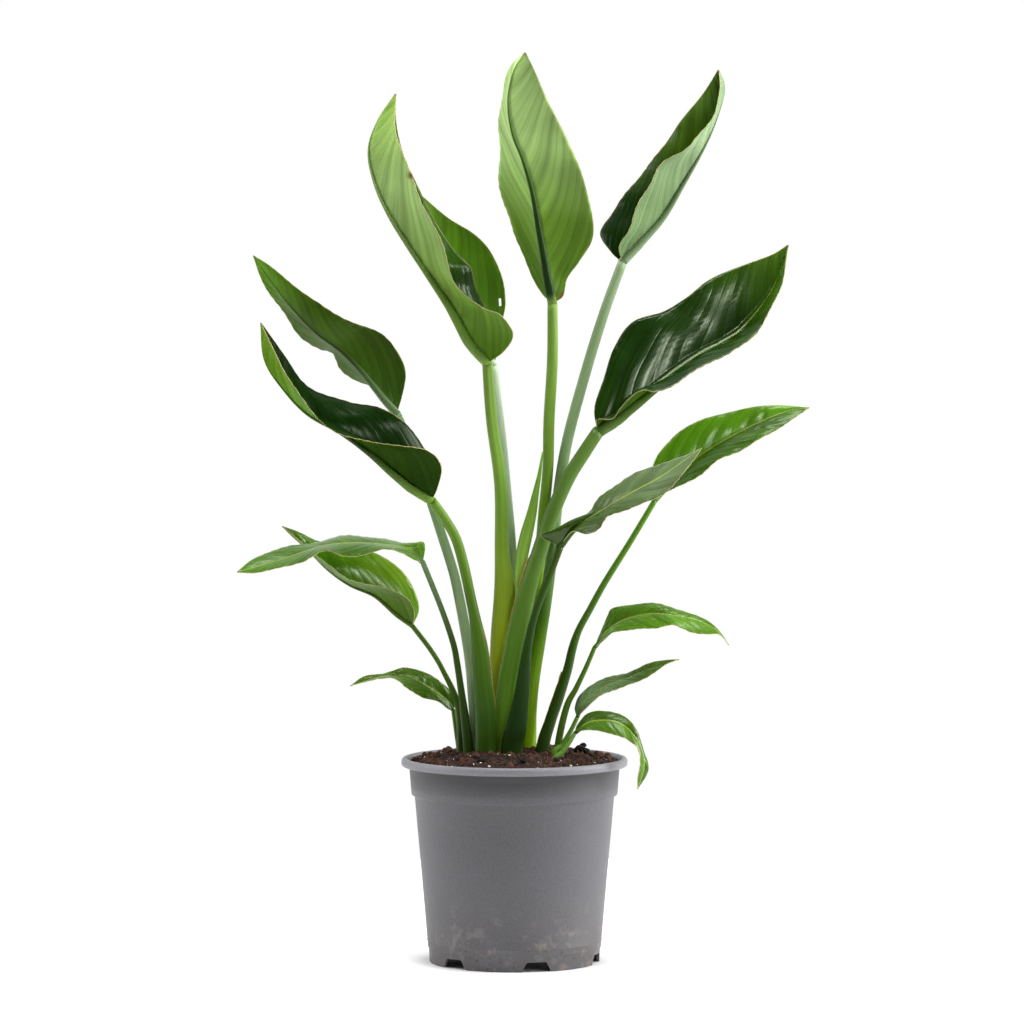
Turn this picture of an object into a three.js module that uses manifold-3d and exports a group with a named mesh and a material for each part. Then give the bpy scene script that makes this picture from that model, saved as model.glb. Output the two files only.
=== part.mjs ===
// Potted bird of paradise: a clump of fifteen paddle leaves and one rolled new leaf,
// growing from a buried rootstock in a plastic nursery pot filled with potting soil.
// Millimetres, +Z up. While it is built the pot's axis is x = y = 0 and the front is -Y;
// at the end everything moves sideways so that the whole plant's middle is on the origin.
import * as THREE from 'three';
import { mergeVertices } from 'three/addons/utils/BufferGeometryUtils.js';
import Module from 'manifold-3d';

const wasm = await Module();
wasm.setup();

// Clearance between neighbouring pieces
const GAP = 0.3;
const ROOM = 0.4;

// Nursery pot
const POT = {
  height: 190,
  rimRadius: 105,
  rimDepth: 8,
  collarTopRadius: 98,
  collarFootRadius: 95.5,
  collarFoot: 156,
  bodyTopRadius: 92.7,
  bodyTop: 155,
  ledgeRadius: 80.5,
  ledge: 14,
  footRadius: 79,
  footWall: 2.5,
  wall: 1.5,
  floorUnder: 9.6,
  floorThick: 1.5,
  sides: 36,
};
const FEET = { count: 6, first: -45, gapTop: 17, gapFoot: 27, gapHeight: 9 };
const DRAIN = { count: 6, radius: 5, ring: 52, middleRadius: 6, sides: 16 };

// Soil: a low mound whose edge lies a little under the rim
const SOIL = { edge: 187, mound: 9, lump: 1.6, sides: POT.sides, rings: [20, 40, 58, 74, 88] };

// Rootstock: a flat crown that every stalk stands on, with thick roots below it
const CROWN = { x: -5, y: -6, wide: 56, deep: 44, top: 150, sides: 16 };
const CROWN_RINGS = [[115, 0.5], [127, 0.86], [141, 1], [150, 0.94]];
const ROOTS = { count: 5, first: 20, top: 5, tip: 2.4, sides: 5, steps: 4, sweep: 40 };
const ROOT_LINE = [[26, 130], [50, 108], [62, 74], [55, 42], [34, 22]];
const FOOT = CROWN.top + GAP;

// Leaf blades
const BLADE = { thick: 0.9, first: 0.03, last: 0.985 };
const RIB = { sides: 6, steps: 5, last: 0.55, fade: 1.3, sink: 0.35, least: 0.5 };
const STEM = { sides: 10, steps: 9, thin: 4, thinSides: 8, thinSteps: 7 };

// Each leaf: the stalk is x, y, z, half width, half depth from its foot up; the blade has its
// midrib and its left and right margins, seen on the upper face with the tip pointing up.
// The margins start at the midrib's first point and end at its last. bow arches each half, and
// wave is the height, number and start of the ripples along each margin.
const LEAVES = [
  {
    name: 'leaf_01',
    stalk: [
      [-14, 4, FOOT, 10.5, 8], [-14, 4, 196, 10.5, 8.5], [-13, 4, 243, 11, 8.5],
      [-11, 4, 299, 11.3, 8.5], [-9, 3, 336, 10.5, 8], [-10, 2, 360, 8.5, 7.5],
      [-12, 0, 385, 6.4, 6.5], [-13, -6, 444, 5.8, 6], [-21, -13, 504, 5.3, 5.5],
      [-25, -20, 556, 5, 5],
    ],
    rib: [
      [-25, -20, 556], [-41, -26, 578], [-59, -36, 611], [-78, -44, 639], [-96, -50, 665],
      [-114, -54, 693], [-127, -56, 721], [-133, -56, 751], [-125, -52, 778], [-108, -46, 804],
    ],
    left: [
      [-9, -34, 568], [-1, -44, 584], [-13, -56, 601], [-31, -66, 608], [-54, -76, 632],
      [-68, -84, 670], [-85, -86, 707], [-98, -80, 739], [-108, -66, 769],
    ],
    right: [
      [-19, -12, 576], [-25, -9, 600], [-35, -12, 624], [-40, -24, 644], [-57, -21, 660],
      [-72, -31, 686], [-87, -42, 715], [-101, -48, 747], [-108, -48, 777],
    ],
    bow: [0.08, 0.06], wave: [1.5, 4, 0.2], cells: [15, 2],
  },
  {
    name: 'leaf_02',
    stalk: [
      [0, 23, FOOT, 6, 4.5], [0, 23, 199, 6, 4.5], [0, 22, 279, 5.5, 4.5], [-1, 20, 335, 5, 4.5],
      [-3, 18, 386, 4.7, 4.5], [-8, 15, 443, 4.6, 4.5], [-13, 12, 494, 4.5, 4.5],
      [-20, 10, 553, 4.3, 4.3],
    ],
    rib: [
      [-20, 10, 553], [-31, 8, 582], [-45, 6, 614], [-60, 3, 647], [-73, 0, 679], [-86, -4, 711],
    ],
    left: [
      [-13, 12, 572], [-11, 12, 594], [-8, 12, 611], [-11, 12, 633], [-22, 10, 659], [-37, 6, 675],
      [-61, 2, 690],
    ],
    right: [
      [-29, 28, 572], [-45, 38, 600], [-62, 40, 632], [-77, 34, 665], [-88, 16, 696],
    ],
    bow: [0.06, 0.06], wave: [1.5, 3, 0.4], cells: [11, 2],
  },
  {
    name: 'leaf_03',
    stalk: [
      [14, 24, FOOT, 6.5, 4.5], [14, 24, 199, 6.5, 4.5], [15, 24, 251, 6.3, 4.7], [20, 22, 325, 6, 5],
      [24, 19, 372, 5.5, 5], [27, 16, 413, 5.3, 5], [31, 11, 458, 5.1, 5], [32, 5, 503, 5.2, 5],
      [35, -3, 559, 5, 5], [35, -10, 611, 4.6, 4.6],
    ],
    rib: [
      [35, -10, 611], [29, -16, 648], [23, -22, 680], [17, -30, 713], [8, -37, 743], [-2, -43, 768],
      [-6, -49, 797], [-1, -53, 823], [10, -54, 841],
    ],
    left: [
      [45, -6, 618], [49, -4, 635], [60, -6, 650], [72, -10, 670], [71, -16, 695], [63, -24, 727],
      [49, -30, 761], [32, -38, 794], [20, -46, 821],
    ],
    right: [
      [25, 0, 621], [11, 8, 647], [-2, 12, 683], [-12, 12, 707], [-14, 4, 739], [-14, -6, 771],
      [-12, -24, 800], [-4, -42, 827],
    ],
    bow: [0.05, 0.08], wave: [1.5, 5, 0], cells: [13, 2],
  },
  {
    name: 'leaf_04',
    stalk: [
      [13, 6, FOOT, 6.3, 5], [13, 6, 198, 6.3, 5], [16, 6, 252, 6.3, 5], [23, 6, 299, 6.2, 5],
      [29, 6, 336, 5.8, 5], [35, 7, 382, 5.5, 5], [40, 9, 429, 5.4, 5], [49, 14, 484, 5.2, 5],
      [68, 18, 554, 5, 5], [84, 19, 605, 4.8, 4.8], [100, 20, 649, 4.5, 4.5],
    ],
    rib: [
      [100, 20, 649], [114, 22, 667], [136, 26, 691], [155, 30, 721], [173, 32, 751], [186, 32, 778],
      [195, 28, 809], [189, 22, 828],
    ],
    left: [
      [90, 25, 658], [80, 40, 676], [93, 46, 698], [114, 50, 726], [133, 50, 749], [154, 44, 779],
      [176, 34, 807],
    ],
    right: [
      [97, 9, 663], [105, -6, 679], [113, -6, 699], [123, -2, 719], [138, 0, 741], [164, 2, 759],
      [182, 6, 782], [190, 14, 806],
    ],
    bow: [0.08, 0.06], wave: [1.5, 5, 0.5], cells: [13, 2],
  },
  {
    name: 'leaf_05',
    stalk: [
      [-10, -11, FOOT, 9, 5.5], [-10, -11, 202, 9.3, 5.5], [-7, -11, 254, 9.6, 5.5],
      [-1, -11, 286, 9.8, 5.8], [5, -11, 317, 9.4, 6], [12, -11, 346, 8.4, 6.3],
      [20, -10, 372, 7.4, 6.5], [29, -9, 400, 7, 6.5], [39, -8, 427, 6.7, 6.5],
      [51, -5, 452, 6.4, 6.4], [65, -2, 474, 6.2, 6.2], [77, 2, 492, 6, 6],
    ],
    rib: [
      [77, 2, 492], [108, 8, 517], [140, 18, 541], [172, 30, 563], [206, 42, 582], [229, 48, 606],
      [245, 50, 632], [256, 46, 666],
    ],
    left: [
      [74, 8, 514], [83, 14, 542], [92, 20, 569], [109, 26, 593], [138, 32, 603], [160, 38, 616],
      [182, 42, 633], [215, 46, 647], [240, 46, 656],
    ],
    right: [
      [76, -10, 504], [90, -18, 505], [99, -22, 516], [116, -22, 531], [130, -20, 531],
      [151, -14, 537], [177, -4, 556], [200, 6, 564], [219, 18, 578], [236, 30, 600], [249, 40, 628],
    ],
    bow: [0.06, 0.08], wave: [1.5, 5, 0], cells: [14, 2],
  },
  {
    name: 'leaf_06',
    stalk: [
      [26, -4, FOOT, 6.2, 5], [26, -4, 197, 6.2, 5], [33, -1, 223, 5.4, 5], [40, 2, 243, 5.2, 5],
      [49, 6, 270, 4.3, 4.3], [54, 9, 291, 3.9, 3.9], [60, 12, 308, 3.3, 3.5], [70, 16, 326, 3.1, 3.2],
      [84, 21, 351, 3, 3], [108, 28, 389, 2.8, 2.8], [131, 34, 427, 2.6, 2.6],
    ],
    rib: [
      [131, 34, 427], [147, 38, 445], [172, 44, 467], [199, 50, 484], [229, 56, 499], [254, 59, 509],
      [277, 60, 513],
    ],
    left: [
      [127, 38, 448], [132, 42, 466], [144, 48, 481], [156, 52, 492], [177, 56, 502], [207, 60, 510],
      [241, 62, 515],
    ],
    right: [
      [139, 22, 434], [156, 18, 442], [173, 20, 452], [193, 26, 466], [219, 34, 478], [240, 42, 490],
      [262, 52, 503],
    ],
    bow: [0.08, 0.06], wave: [1.2, 4, 0.3], cells: [12, 2],
  },
  {
    name: 'leaf_07',
    stalk: [
      [-2, -23, FOOT, 10.3, 5], [-2, -23, 201, 10.3, 5], [2, -24, 221, 9.3, 5],
      [7, -24, 253, 6.8, 4.8], [10, -26, 279, 5.3, 4.4], [13, -26, 301, 3.8, 4],
      [20, -28, 329, 3.5, 3.6], [32, -30, 361, 3.6, 3.6], [42, -32, 388, 3.5, 3.5],
    ],
    rib: [
      [42, -32, 388], [60, -42, 409], [83, -54, 424], [109, -66, 440], [137, -74, 456],
      [171, -80, 481],
    ],
    left: [
      [24, -36, 398], [38, -38, 405], [55, -38, 414], [69, -38, 420], [80, -40, 435], [103, -48, 452],
      [133, -58, 465], [156, -70, 473],
    ],
    right: [
      [53, -46, 402], [66, -58, 401], [78, -68, 406], [87, -76, 419], [110, -84, 427], [128, -88, 435],
      [143, -90, 446], [158, -86, 463],
    ],
    bow: [0.04, 0.08], wave: [1, 4, 0.6], cells: [14, 2],
  },
  {
    name: 'leaf_08',
    stalk: [
      [-35, 11, FOOT, 5.5, 4.5], [-35, 11, 200, 5.5, 4.5], [-38, 11, 242, 5.2, 4.5],
      [-41, 11, 276, 5, 4.5], [-46, 10, 309, 4.9, 4.5], [-51, 9, 336, 4.8, 4.5],
      [-57, 8, 363, 4.6, 4.4], [-69, 6, 401, 4.4, 4.3], [-78, 4, 429, 4.3, 4.2],
      [-92, 2, 471, 4.1, 4.1], [-109, 0, 509, 4, 4],
    ],
    rib: [
      [-109, 0, 509], [-126, -6, 530], [-144, -10, 552], [-161, -14, 569], [-182, -18, 584],
      [-203, -20, 605], [-220, -20, 626], [-241, -18, 656],
    ],
    left: [
      [-104, 4, 525], [-101, 8, 547], [-108, 10, 566], [-122, 10, 582], [-148, 8, 593], [-180, 2, 610],
      [-207, -8, 631], [-227, -14, 647],
    ],
    right: [
      [-119, 10, 516], [-132, 18, 532], [-148, 22, 539], [-161, 22, 550], [-169, 20, 564],
      [-182, 14, 568], [-199, 8, 582], [-217, -2, 607], [-233, -12, 633],
    ],
    bow: [0.08, 0.06], wave: [1.2, 4, 0.1], cells: [12, 2],
  },
  {
    name: 'leaf_09',
    stalk: [
      [-26, -20, FOOT, 10, 7], [-26, -20, 201, 10.2, 7], [-26, -20, 227, 10.3, 7],
      [-29, -22, 259, 9, 6.8], [-32, -23, 292, 8, 6.5], [-36, -24, 318, 5.6, 6],
      [-40, -26, 338, 4.9, 5.5], [-47, -28, 371, 4.8, 5], [-54, -30, 395, 4.7, 4.8],
      [-64, -32, 413, 4.6, 4.7], [-76, -34, 430, 4.5, 4.5],
    ],
    rib: [
      [-76, -34, 430], [-104, -44, 452], [-132, -54, 476], [-159, -60, 495], [-188, -64, 511],
      [-210, -66, 533], [-228, -64, 560], [-232, -58, 595],
    ],
    left: [
      [-70, -44, 444], [-67, -54, 463], [-79, -64, 477], [-104, -74, 483], [-135, -84, 486],
      [-162, -90, 496], [-186, -92, 516], [-206, -84, 546], [-221, -70, 573],
    ],
    right: [
      [-72, -24, 449], [-81, -26, 475], [-98, -32, 499], [-124, -36, 516], [-151, -38, 521],
      [-178, -42, 529], [-195, -48, 542], [-211, -54, 565], [-224, -57, 584],
    ],
    bow: [0.06, 0.08], wave: [1.2, 4, 0.5], cells: [13, 2],
  },
  {
    name: 'leaf_10',
    stalk: [
      [-42, -8, FOOT, 5.6, 4.5], [-42, -8, 197, 5.6, 4.5], [-45, -8, 221, 4.5, 4],
      [-49, -7, 250, 3.3, 3.4], [-53, -5, 277, 3, 3], [-57, -3, 297, 2.8, 2.8],
      [-68, 0, 329, 2.6, 2.6], [-85, 4, 371, 2.5, 2.5],
    ],
    rib: [
      [-85, 4, 371], [-99, -2, 384], [-120, -8, 388], [-147, -16, 390], [-175, -24, 388],
      [-207, -30, 378], [-234, -33, 370], [-256, -34, 364],
    ],
    left: [
      [-93, -8, 374], [-106, -18, 382], [-119, -26, 385], [-138, -34, 380], [-156, -40, 380],
      [-174, -44, 384], [-192, -48, 376], [-215, -46, 369], [-238, -40, 364],
    ],
    right: [
      [-84, 10, 389], [-102, 12, 388], [-125, 10, 393], [-153, 4, 396], [-180, -4, 391],
      [-212, -14, 386], [-239, -24, 377],
    ],
    bow: [0.06, 0.06], wave: [0.8, 4, 0], cells: [13, 2],
  },
  {
    name: 'leaf_11',
    stalk: [
      [-50, 4, FOOT, 3.4, 3.4], [-50, 4, 196, 3.4, 3.4], [-53, 12, 238, 3, 3],
      [-66, 19, 268, 2.4, 2.4], [-78, 22, 288, 2.3, 2.3], [-95, 26, 310, 2.3, 2.3],
    ],
    rib: [
      [-95, 26, 310], [-111, 24, 323], [-130, 22, 339], [-153, 18, 349], [-173, 14, 363],
      [-192, 10, 382], [-205, 6, 394], [-216, 4, 405],
    ],
    left: [
      [-93, 16, 324], [-99, 8, 337], [-114, 2, 345], [-134, -4, 351], [-157, -6, 358], [-176, -4, 372],
      [-196, -1, 389],
    ],
    right: [
      [-89, 30, 327], [-96, 34, 348], [-109, 36, 365], [-130, 34, 378], [-158, 30, 386],
      [-183, 22, 390], [-201, 12, 399],
    ],
    bow: [0.06, 0.08], wave: [0.8, 3, 0.3], cells: [12, 2],
  },
  {
    name: 'leaf_12',
    stalk: [
      [-51, 18, FOOT, 2.6, 2.6], [-51, 18, 188, 2.6, 2.6], [-54, 22, 210, 2.2, 2.2],
      [-57, 26, 231, 2, 2],
    ],
    rib: [
      [-57, 26, 231], [-63, 23, 241], [-79, 19, 253], [-97, 15, 263], [-116, 11, 265], [-134, 7, 262],
      [-153, 2, 256],
    ],
    left: [
      [-62, 20, 233], [-72, 14, 241], [-86, 8, 245], [-99, 4, 253], [-111, 2, 263], [-129, 1, 262],
      [-143, 1, 259],
    ],
    right: [
      [-55, 28, 239], [-58, 28, 248], [-69, 26, 258], [-83, 22, 267], [-102, 18, 272], [-120, 14, 267],
      [-139, 8, 265],
    ],
    bow: [0.06, 0.06], wave: [0.5, 3, 0], cells: [10, 2],
  },
  {
    name: 'leaf_13',
    stalk: [
      [40, -12, FOOT, 3.4, 3.4], [40, -12, 198, 3.4, 3.4], [48, -11, 237, 3, 3],
      [57, -11, 255, 2.5, 2.5], [66, -12, 274, 2.2, 2.2], [74, -13, 293, 2, 2],
    ],
    rib: [
      [74, -13, 293], [85, -20, 308], [102, -28, 320], [125, -38, 326], [147, -46, 325],
      [170, -51, 320], [187, -53, 311], [197, -52, 298],
    ],
    left: [
      [79, -12, 306], [86, -14, 322], [91, -18, 330], [111, -24, 334], [134, -32, 335],
      [157, -41, 328], [177, -48, 321], [189, -52, 310],
    ],
    right: [
      [83, -26, 301], [92, -34, 309], [111, -44, 312], [129, -52, 314], [144, -58, 317],
      [162, -62, 311], [177, -61, 309], [188, -57, 308],
    ],
    bow: [0.06, 0.06], wave: [0.6, 4, 0.4], cells: [12, 2],
  },
  {
    name: 'leaf_14',
    stalk: [
      [33, -24, FOOT, 3.2, 3.2], [35, -24, 193, 3.2, 3.2], [44, -19, 203, 2.6, 2.6],
      [52, -15, 216, 2.1, 2.1], [58, -12, 228, 1.9, 1.9],
    ],
    rib: [
      [58, -12, 228], [63, -14, 241], [73, -17, 250], [86, -20, 259], [105, -24, 266], [123, -29, 274],
      [138, -32, 279], [152, -34, 284],
    ],
    left: [
      [56, -8, 237], [60, -8, 248], [70, -10, 257], [87, -14, 266], [107, -19, 271], [125, -26, 280],
      [139, -31, 283],
    ],
    right: [
      [63, -18, 234], [72, -23, 243], [82, -27, 251], [97, -31, 257], [116, -35, 264], [129, -36, 272],
      [141, -36, 280],
    ],
    bow: [0.06, 0.06], wave: [0.5, 3, 0.2], cells: [10, 2],
  },
  {
    name: 'leaf_15',
    stalk: [
      [30, -36, FOOT, 3.2, 3.2], [35, -40, 188, 3.2, 3.2], [44, -35, 198, 2.6, 2.6],
      [50, -30, 206, 2.2, 2.2], [56, -24, 215, 1.9, 1.9],
    ],
    rib: [
      [56, -24, 215], [68, -32, 225], [83, -40, 228], [97, -46, 226], [108, -50, 217], [116, -52, 204],
      [119, -52, 187], [113, -50, 165],
    ],
    left: [
      [58, -20, 222], [68, -24, 233], [83, -32, 236], [99, -40, 233], [111, -46, 222], [119, -48, 201],
      [123, -48, 183],
    ],
    right: [
      [63, -34, 218], [76, -44, 219], [90, -52, 216], [103, -57, 212], [113, -59, 204],
      [115, -57, 191], [113, -53, 176],
    ],
    bow: [0.06, 0.06], wave: [0.5, 3, 0.6], cells: [11, 2],
  },
];

// The rolled new leaf, pushed up between the first and the fifth stalk
const SPEAR = [
  [1, 4, FOOT, 3, 3], [1, 4, 224, 3, 3], [4, 0, 299, 3.2, 3], [4, -1.5, 336, 3.8, 3],
  [5, -3, 360, 5, 3.3], [7, -4, 378, 5.8, 3.6], [11, -4, 397, 5.8, 3.6], [16, -4, 417, 4.6, 3.4],
  [20, -5, 438, 2.9, 2.9], [23, -6, 453, 1.9, 1.9], [26, -6, 474, 0.6, 0.6],
];

// Materials, one slot each
const LOOKS = {
  pot: { color: 0x8a8d93, roughness: 0.55 },
  soil: { color: 0x33231a, roughness: 1 },
  rootstock: { color: 0xb9a27c, roughness: 0.9 },
  blade: { color: 0x2f5d24, roughness: 0.35 },
  stalk: { color: 0x5c8a3c, roughness: 0.5 },
  spear: { color: 0x8fbf2f, roughness: 0.45 },
};

const ACROSS = new THREE.Vector3(1, 0, 0);
const UP = new THREE.Vector3(0, 0, 1);
const vector = ([x, y, z]) => new THREE.Vector3(x, y, z);

// A smooth curve through points, read by its share of the length
function curveThrough(points) {
  const curve = new THREE.CatmullRomCurve3(points, false, 'catmullrom', 0.5);
  curve.arcLengthDivisions = 400;
  return curve;
}

// A closed solid from corner points and triangles
function solidFrom(points, faces) {
  const vertProperties = new Float32Array(points.flatMap((p) => [p.x, p.y, p.z]));
  const triVerts = new Uint32Array(faces.flat());
  return new wasm.Manifold(new wasm.Mesh({ numProp: 3, vertProperties, triVerts }));
}

// A closed solid from a three.js geometry
function solidOf(geometry) {
  geometry.deleteAttribute('normal');
  geometry.deleteAttribute('uv');
  const welded = mergeVertices(geometry, 1e-4);
  const vertProperties = new Float32Array(welded.attributes.position.array);
  const triVerts = new Uint32Array(welded.index.array);
  return new wasm.Manifold(new wasm.Mesh({ numProp: 3, vertProperties, triVerts }));
}

// A named mesh with its own material from a solid
function meshOf(name, solid, look) {
  const { vertProperties, triVerts } = solid.getMesh();
  const geometry = new THREE.BufferGeometry();
  geometry.setAttribute('position', new THREE.BufferAttribute(new Float32Array(vertProperties), 3));
  geometry.setIndex(new THREE.BufferAttribute(new Uint32Array(triVerts), 1));
  geometry.computeVertexNormals();
  const mesh = new THREE.Mesh(geometry, new THREE.MeshStandardMaterial(LOOKS[look]));
  mesh.name = name;
  return mesh;
}

// A solid through a row of rings, each with the same number of points, with flat ends
function loft(rings) {
  const sides = rings[0].length;
  const last = (rings.length - 1) * sides;
  const faces = [];
  for (let i = 0; i + 1 < rings.length; i += 1) {
    for (let j = 0; j < sides; j += 1) {
      const a = i * sides + j;
      const b = i * sides + ((j + 1) % sides);
      faces.push([a, b, b + sides], [a, b + sides, a + sides]);
    }
  }
  for (let j = 1; j + 1 < sides; j += 1) {
    faces.push([0, j + 1, j], [last, last + j, last + j + 1]);
  }
  return solidFrom(rings.flat(), faces);
}

// An oval ring square to a direction; its width lies as near to the side vector as it can
function ovalRing(centre, direction, side, wide, deep, sides) {
  const across = side.clone().addScaledVector(direction, -direction.dot(side)).normalize();
  const along = new THREE.Vector3().crossVectors(direction, across);
  return Array.from({ length: sides }, (_, k) => {
    const turn = (2 * Math.PI * k) / sides;
    const reach = across.clone().multiplyScalar(wide * Math.cos(turn));
    return centre.clone().add(reach).addScaledVector(along, deep * Math.sin(turn));
  });
}

// The direction in which a stalk hands over to its midrib
function jointDirection(leaf) {
  const stalkEnd = curveThrough(leaf.stalk.map(vector)).getTangentAt(1);
  const ribStart = curveThrough(leaf.rib.map(vector)).getTangentAt(0);
  return stalkEnd.add(ribStart).normalize();
}

// A stalk or the new leaf: an oval stem through its list of points; grow makes room around it
function stemSolid(path, endDirection, grow = 0) {
  const line = curveThrough(path.map(vector));
  const size = curveThrough(path.map((row) => new THREE.Vector3(row[3], row[4], 0)));
  const rings = [];
  const thin = path[0][3] < STEM.thin;
  const sides = thin ? STEM.thinSides : STEM.sides;
  const steps = thin ? STEM.thinSteps : STEM.steps;
  for (let i = 0; i <= steps; i += 1) {
    const share = i / steps;
    const place = line.getUtoTmapping(share);
    const centre = line.getPoint(place);
    const half = size.getPoint(place);
    const first = i === 0;
    const last = i === steps;
    let direction = line.getTangent(place);
    if (first) direction = UP.clone();
    if (last && endDirection) direction = endDirection;
    if (first) centre.addScaledVector(direction, -grow);
    if (last) centre.addScaledVector(direction, grow);
    rings.push(ovalRing(centre, direction, ACROSS, half.x + grow, half.y + grow, sides));
  }
  return loft(rings);
}

// The middle surface of a blade: share runs from base to tip, side from -1 at the left margin
// over 0 at the midrib to 1 at the right margin
function bladeSurface(leaf) {
  const base = leaf.rib[0];
  const tip = leaf.rib[leaf.rib.length - 1];
  const rib = curveThrough(leaf.rib.map(vector));
  const margins = [leaf.left, leaf.right].map((rows) => curveThrough([base, ...rows, tip].map(vector)));
  const [height, count, start] = leaf.wave;
  return (share, side) => {
    const half = side < 0 ? 0 : 1;
    const out = Math.abs(side);
    const point = rib.getPointAt(share);
    const chord = margins[half].getPointAt(share).sub(point);
    const tangent = rib.getTangentAt(share);
    const up = new THREE.Vector3().crossVectors(chord, tangent).multiplyScalar(half ? 1 : -1).normalize();
    const bow = leaf.bow[half] * chord.length() * 4 * out * (1 - out);
    const ripple = height * Math.sin(2 * Math.PI * (count * share + start + 0.3 * half)) * out * out;
    const fade = Math.sin(Math.PI * share);
    return point.addScaledVector(chord, out).addScaledVector(up, bow + ripple * fade);
  };
}

// The blade as a thin sheet: the middle surface moved half the thickness to either face
function sheetSolid(leaf, surface) {
  const [long, wide] = leaf.cells;
  const columns = 2 * wide + 1;
  const grid = [];
  for (let i = 0; i <= long; i += 1) {
    const share = BLADE.first + ((BLADE.last - BLADE.first) * i) / long;
    grid.push(Array.from({ length: columns }, (_, j) => surface(share, j / wide - 1)));
  }
  const at = (i, j) => grid[THREE.MathUtils.clamp(i, 0, long)][THREE.MathUtils.clamp(j, 0, columns - 1)];
  const normal = (i, left, right) => {
    const across = new THREE.Vector3().subVectors(at(i, right), at(i, left));
    const along = new THREE.Vector3().subVectors(at(i + 1, right), at(i - 1, right));
    along.add(at(i + 1, left)).sub(at(i - 1, left));
    return across.cross(along).normalize();
  };
  const upper = [];
  const lower = [];
  for (let i = 0; i <= long; i += 1) {
    for (let j = 0; j < columns; j += 1) {
      const sides = [];
      if (j > 0) sides.push(normal(i, j - 1, j));
      if (j + 1 < columns) sides.push(normal(i, j, j + 1));
      const middle = sides.reduce((sum, n) => sum.add(n), new THREE.Vector3()).normalize();
      const mitre = Math.max(0.6, middle.dot(sides[0].clone().normalize()));
      const reach = BLADE.thick / 2 / Math.min(1, mitre);
      upper.push(grid[i][j].clone().addScaledVector(middle, reach));
      lower.push(grid[i][j].clone().addScaledVector(middle, -reach));
    }
  }
  const shift = upper.length;
  const faces = [];
  for (let i = 0; i < long; i += 1) {
    for (let j = 0; j + 1 < columns; j += 1) {
      const a = i * columns + j;
      const b = a + 1;
      const c = a + columns;
      const d = c + 1;
      faces.push([a, b, d], [a, d, c], [a + shift, d + shift, b + shift], [a + shift, c + shift, d + shift]);
    }
  }
  const edge = [];
  for (let j = 0; j + 1 < columns; j += 1) edge.push([j, j + 1]);
  for (let i = 0; i < long; i += 1) edge.push([(i + 1) * columns - 1, (i + 2) * columns - 1]);
  for (let j = columns - 1; j > 0; j -= 1) edge.push([long * columns + j, long * columns + j - 1]);
  for (let i = long; i > 0; i -= 1) edge.push([i * columns, (i - 1) * columns]);
  edge.forEach(([a, b]) => faces.push([b, a, a + shift], [b, a + shift, b + shift]));
  return solidFrom([...upper, ...lower], faces);
}

// The midrib: it carries the stalk on under the blade and tapers to the tip
function ribSolid(leaf, surface, direction) {
  const rib = curveThrough(leaf.rib.map(vector));
  const [, , , wide, deep] = leaf.stalk[leaf.stalk.length - 1];
  const rings = [];
  for (let i = 0; i <= RIB.steps; i += 1) {
    const share = (RIB.last * i) / RIB.steps;
    const thin = (1 - share) ** RIB.fade;
    const tangent = i === 0 ? direction : rib.getTangentAt(share);
    const near = Math.min(Math.max(share, BLADE.first), 0.95);
    const across = surface(near, 0.3).sub(surface(near, -0.3));
    const up = new THREE.Vector3().crossVectors(across, rib.getTangentAt(share)).normalize();
    const sink = i === 0 ? 0 : RIB.sink * Math.max(RIB.least, deep * thin);
    const centre = rib.getPointAt(share).addScaledVector(up, -sink);
    if (i === 0) centre.addScaledVector(direction, GAP);
    const half = [wide, deep].map((size) => Math.max(RIB.least, size * thin));
    rings.push(ovalRing(centre, tangent, across, half[0], half[1], RIB.sides));
  }
  return loft(rings);
}

function bladeSolid(leaf, direction) {
  const surface = bladeSurface(leaf);
  return sheetSolid(leaf, surface).add(ribSolid(leaf, surface, direction));
}

// The pot's wall and floor as one turned profile, from the axis under the floor round to the
// axis on top of it
function potProfile() {
  const floorTop = POT.floorUnder + POT.floorThick;
  const rimFoot = POT.height - POT.rimDepth;
  const footInside = POT.footRadius - POT.footWall;
  return [
    [0, POT.floorUnder],
    [footInside + 0.4, POT.floorUnder],
    [footInside, 0],
    [POT.footRadius, 0],
    [POT.footRadius + 0.6, POT.ledge - 0.8],
    [POT.ledgeRadius, POT.ledge],
    [POT.bodyTopRadius, POT.bodyTop],
    [POT.collarFootRadius, POT.collarFoot],
    [POT.collarTopRadius, rimFoot],
    [POT.rimRadius - 1.5, rimFoot + 0.3],
    [POT.rimRadius, rimFoot + 2],
    [POT.rimRadius, POT.height - 2.5],
    [POT.rimRadius - 1.5, POT.height - 0.3],
    [POT.rimRadius - 3.5, POT.height],
    [POT.rimRadius - 5.5, POT.height - 0.8],
    [POT.collarTopRadius - POT.wall, rimFoot],
    [POT.collarFootRadius - POT.wall, POT.collarFoot + 1],
    [POT.bodyTopRadius - POT.wall, POT.bodyTop],
    [POT.footRadius - 1.1, floorTop],
    [0, floorTop],
  ];
}

// A gap between two feet, cut through the foot ring
function footGap(angle) {
  const shape = new THREE.Shape([
    new THREE.Vector2(-FEET.gapFoot / 2 - 0.5, -1),
    new THREE.Vector2(FEET.gapFoot / 2 + 0.5, -1),
    new THREE.Vector2(FEET.gapTop / 2, FEET.gapHeight),
    new THREE.Vector2(-FEET.gapTop / 2, FEET.gapHeight),
  ]);
  const cutter = new THREE.ExtrudeGeometry(shape, { depth: 20, bevelEnabled: false });
  const outward = new THREE.Vector3(Math.sin(angle), -Math.cos(angle), 0);
  const turn = new THREE.Matrix4().makeBasis(new THREE.Vector3().crossVectors(UP, outward), UP, outward);
  cutter.translate(0, 0, POT.footRadius - 10);
  return solidOf(cutter.applyMatrix4(turn));
}

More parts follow.
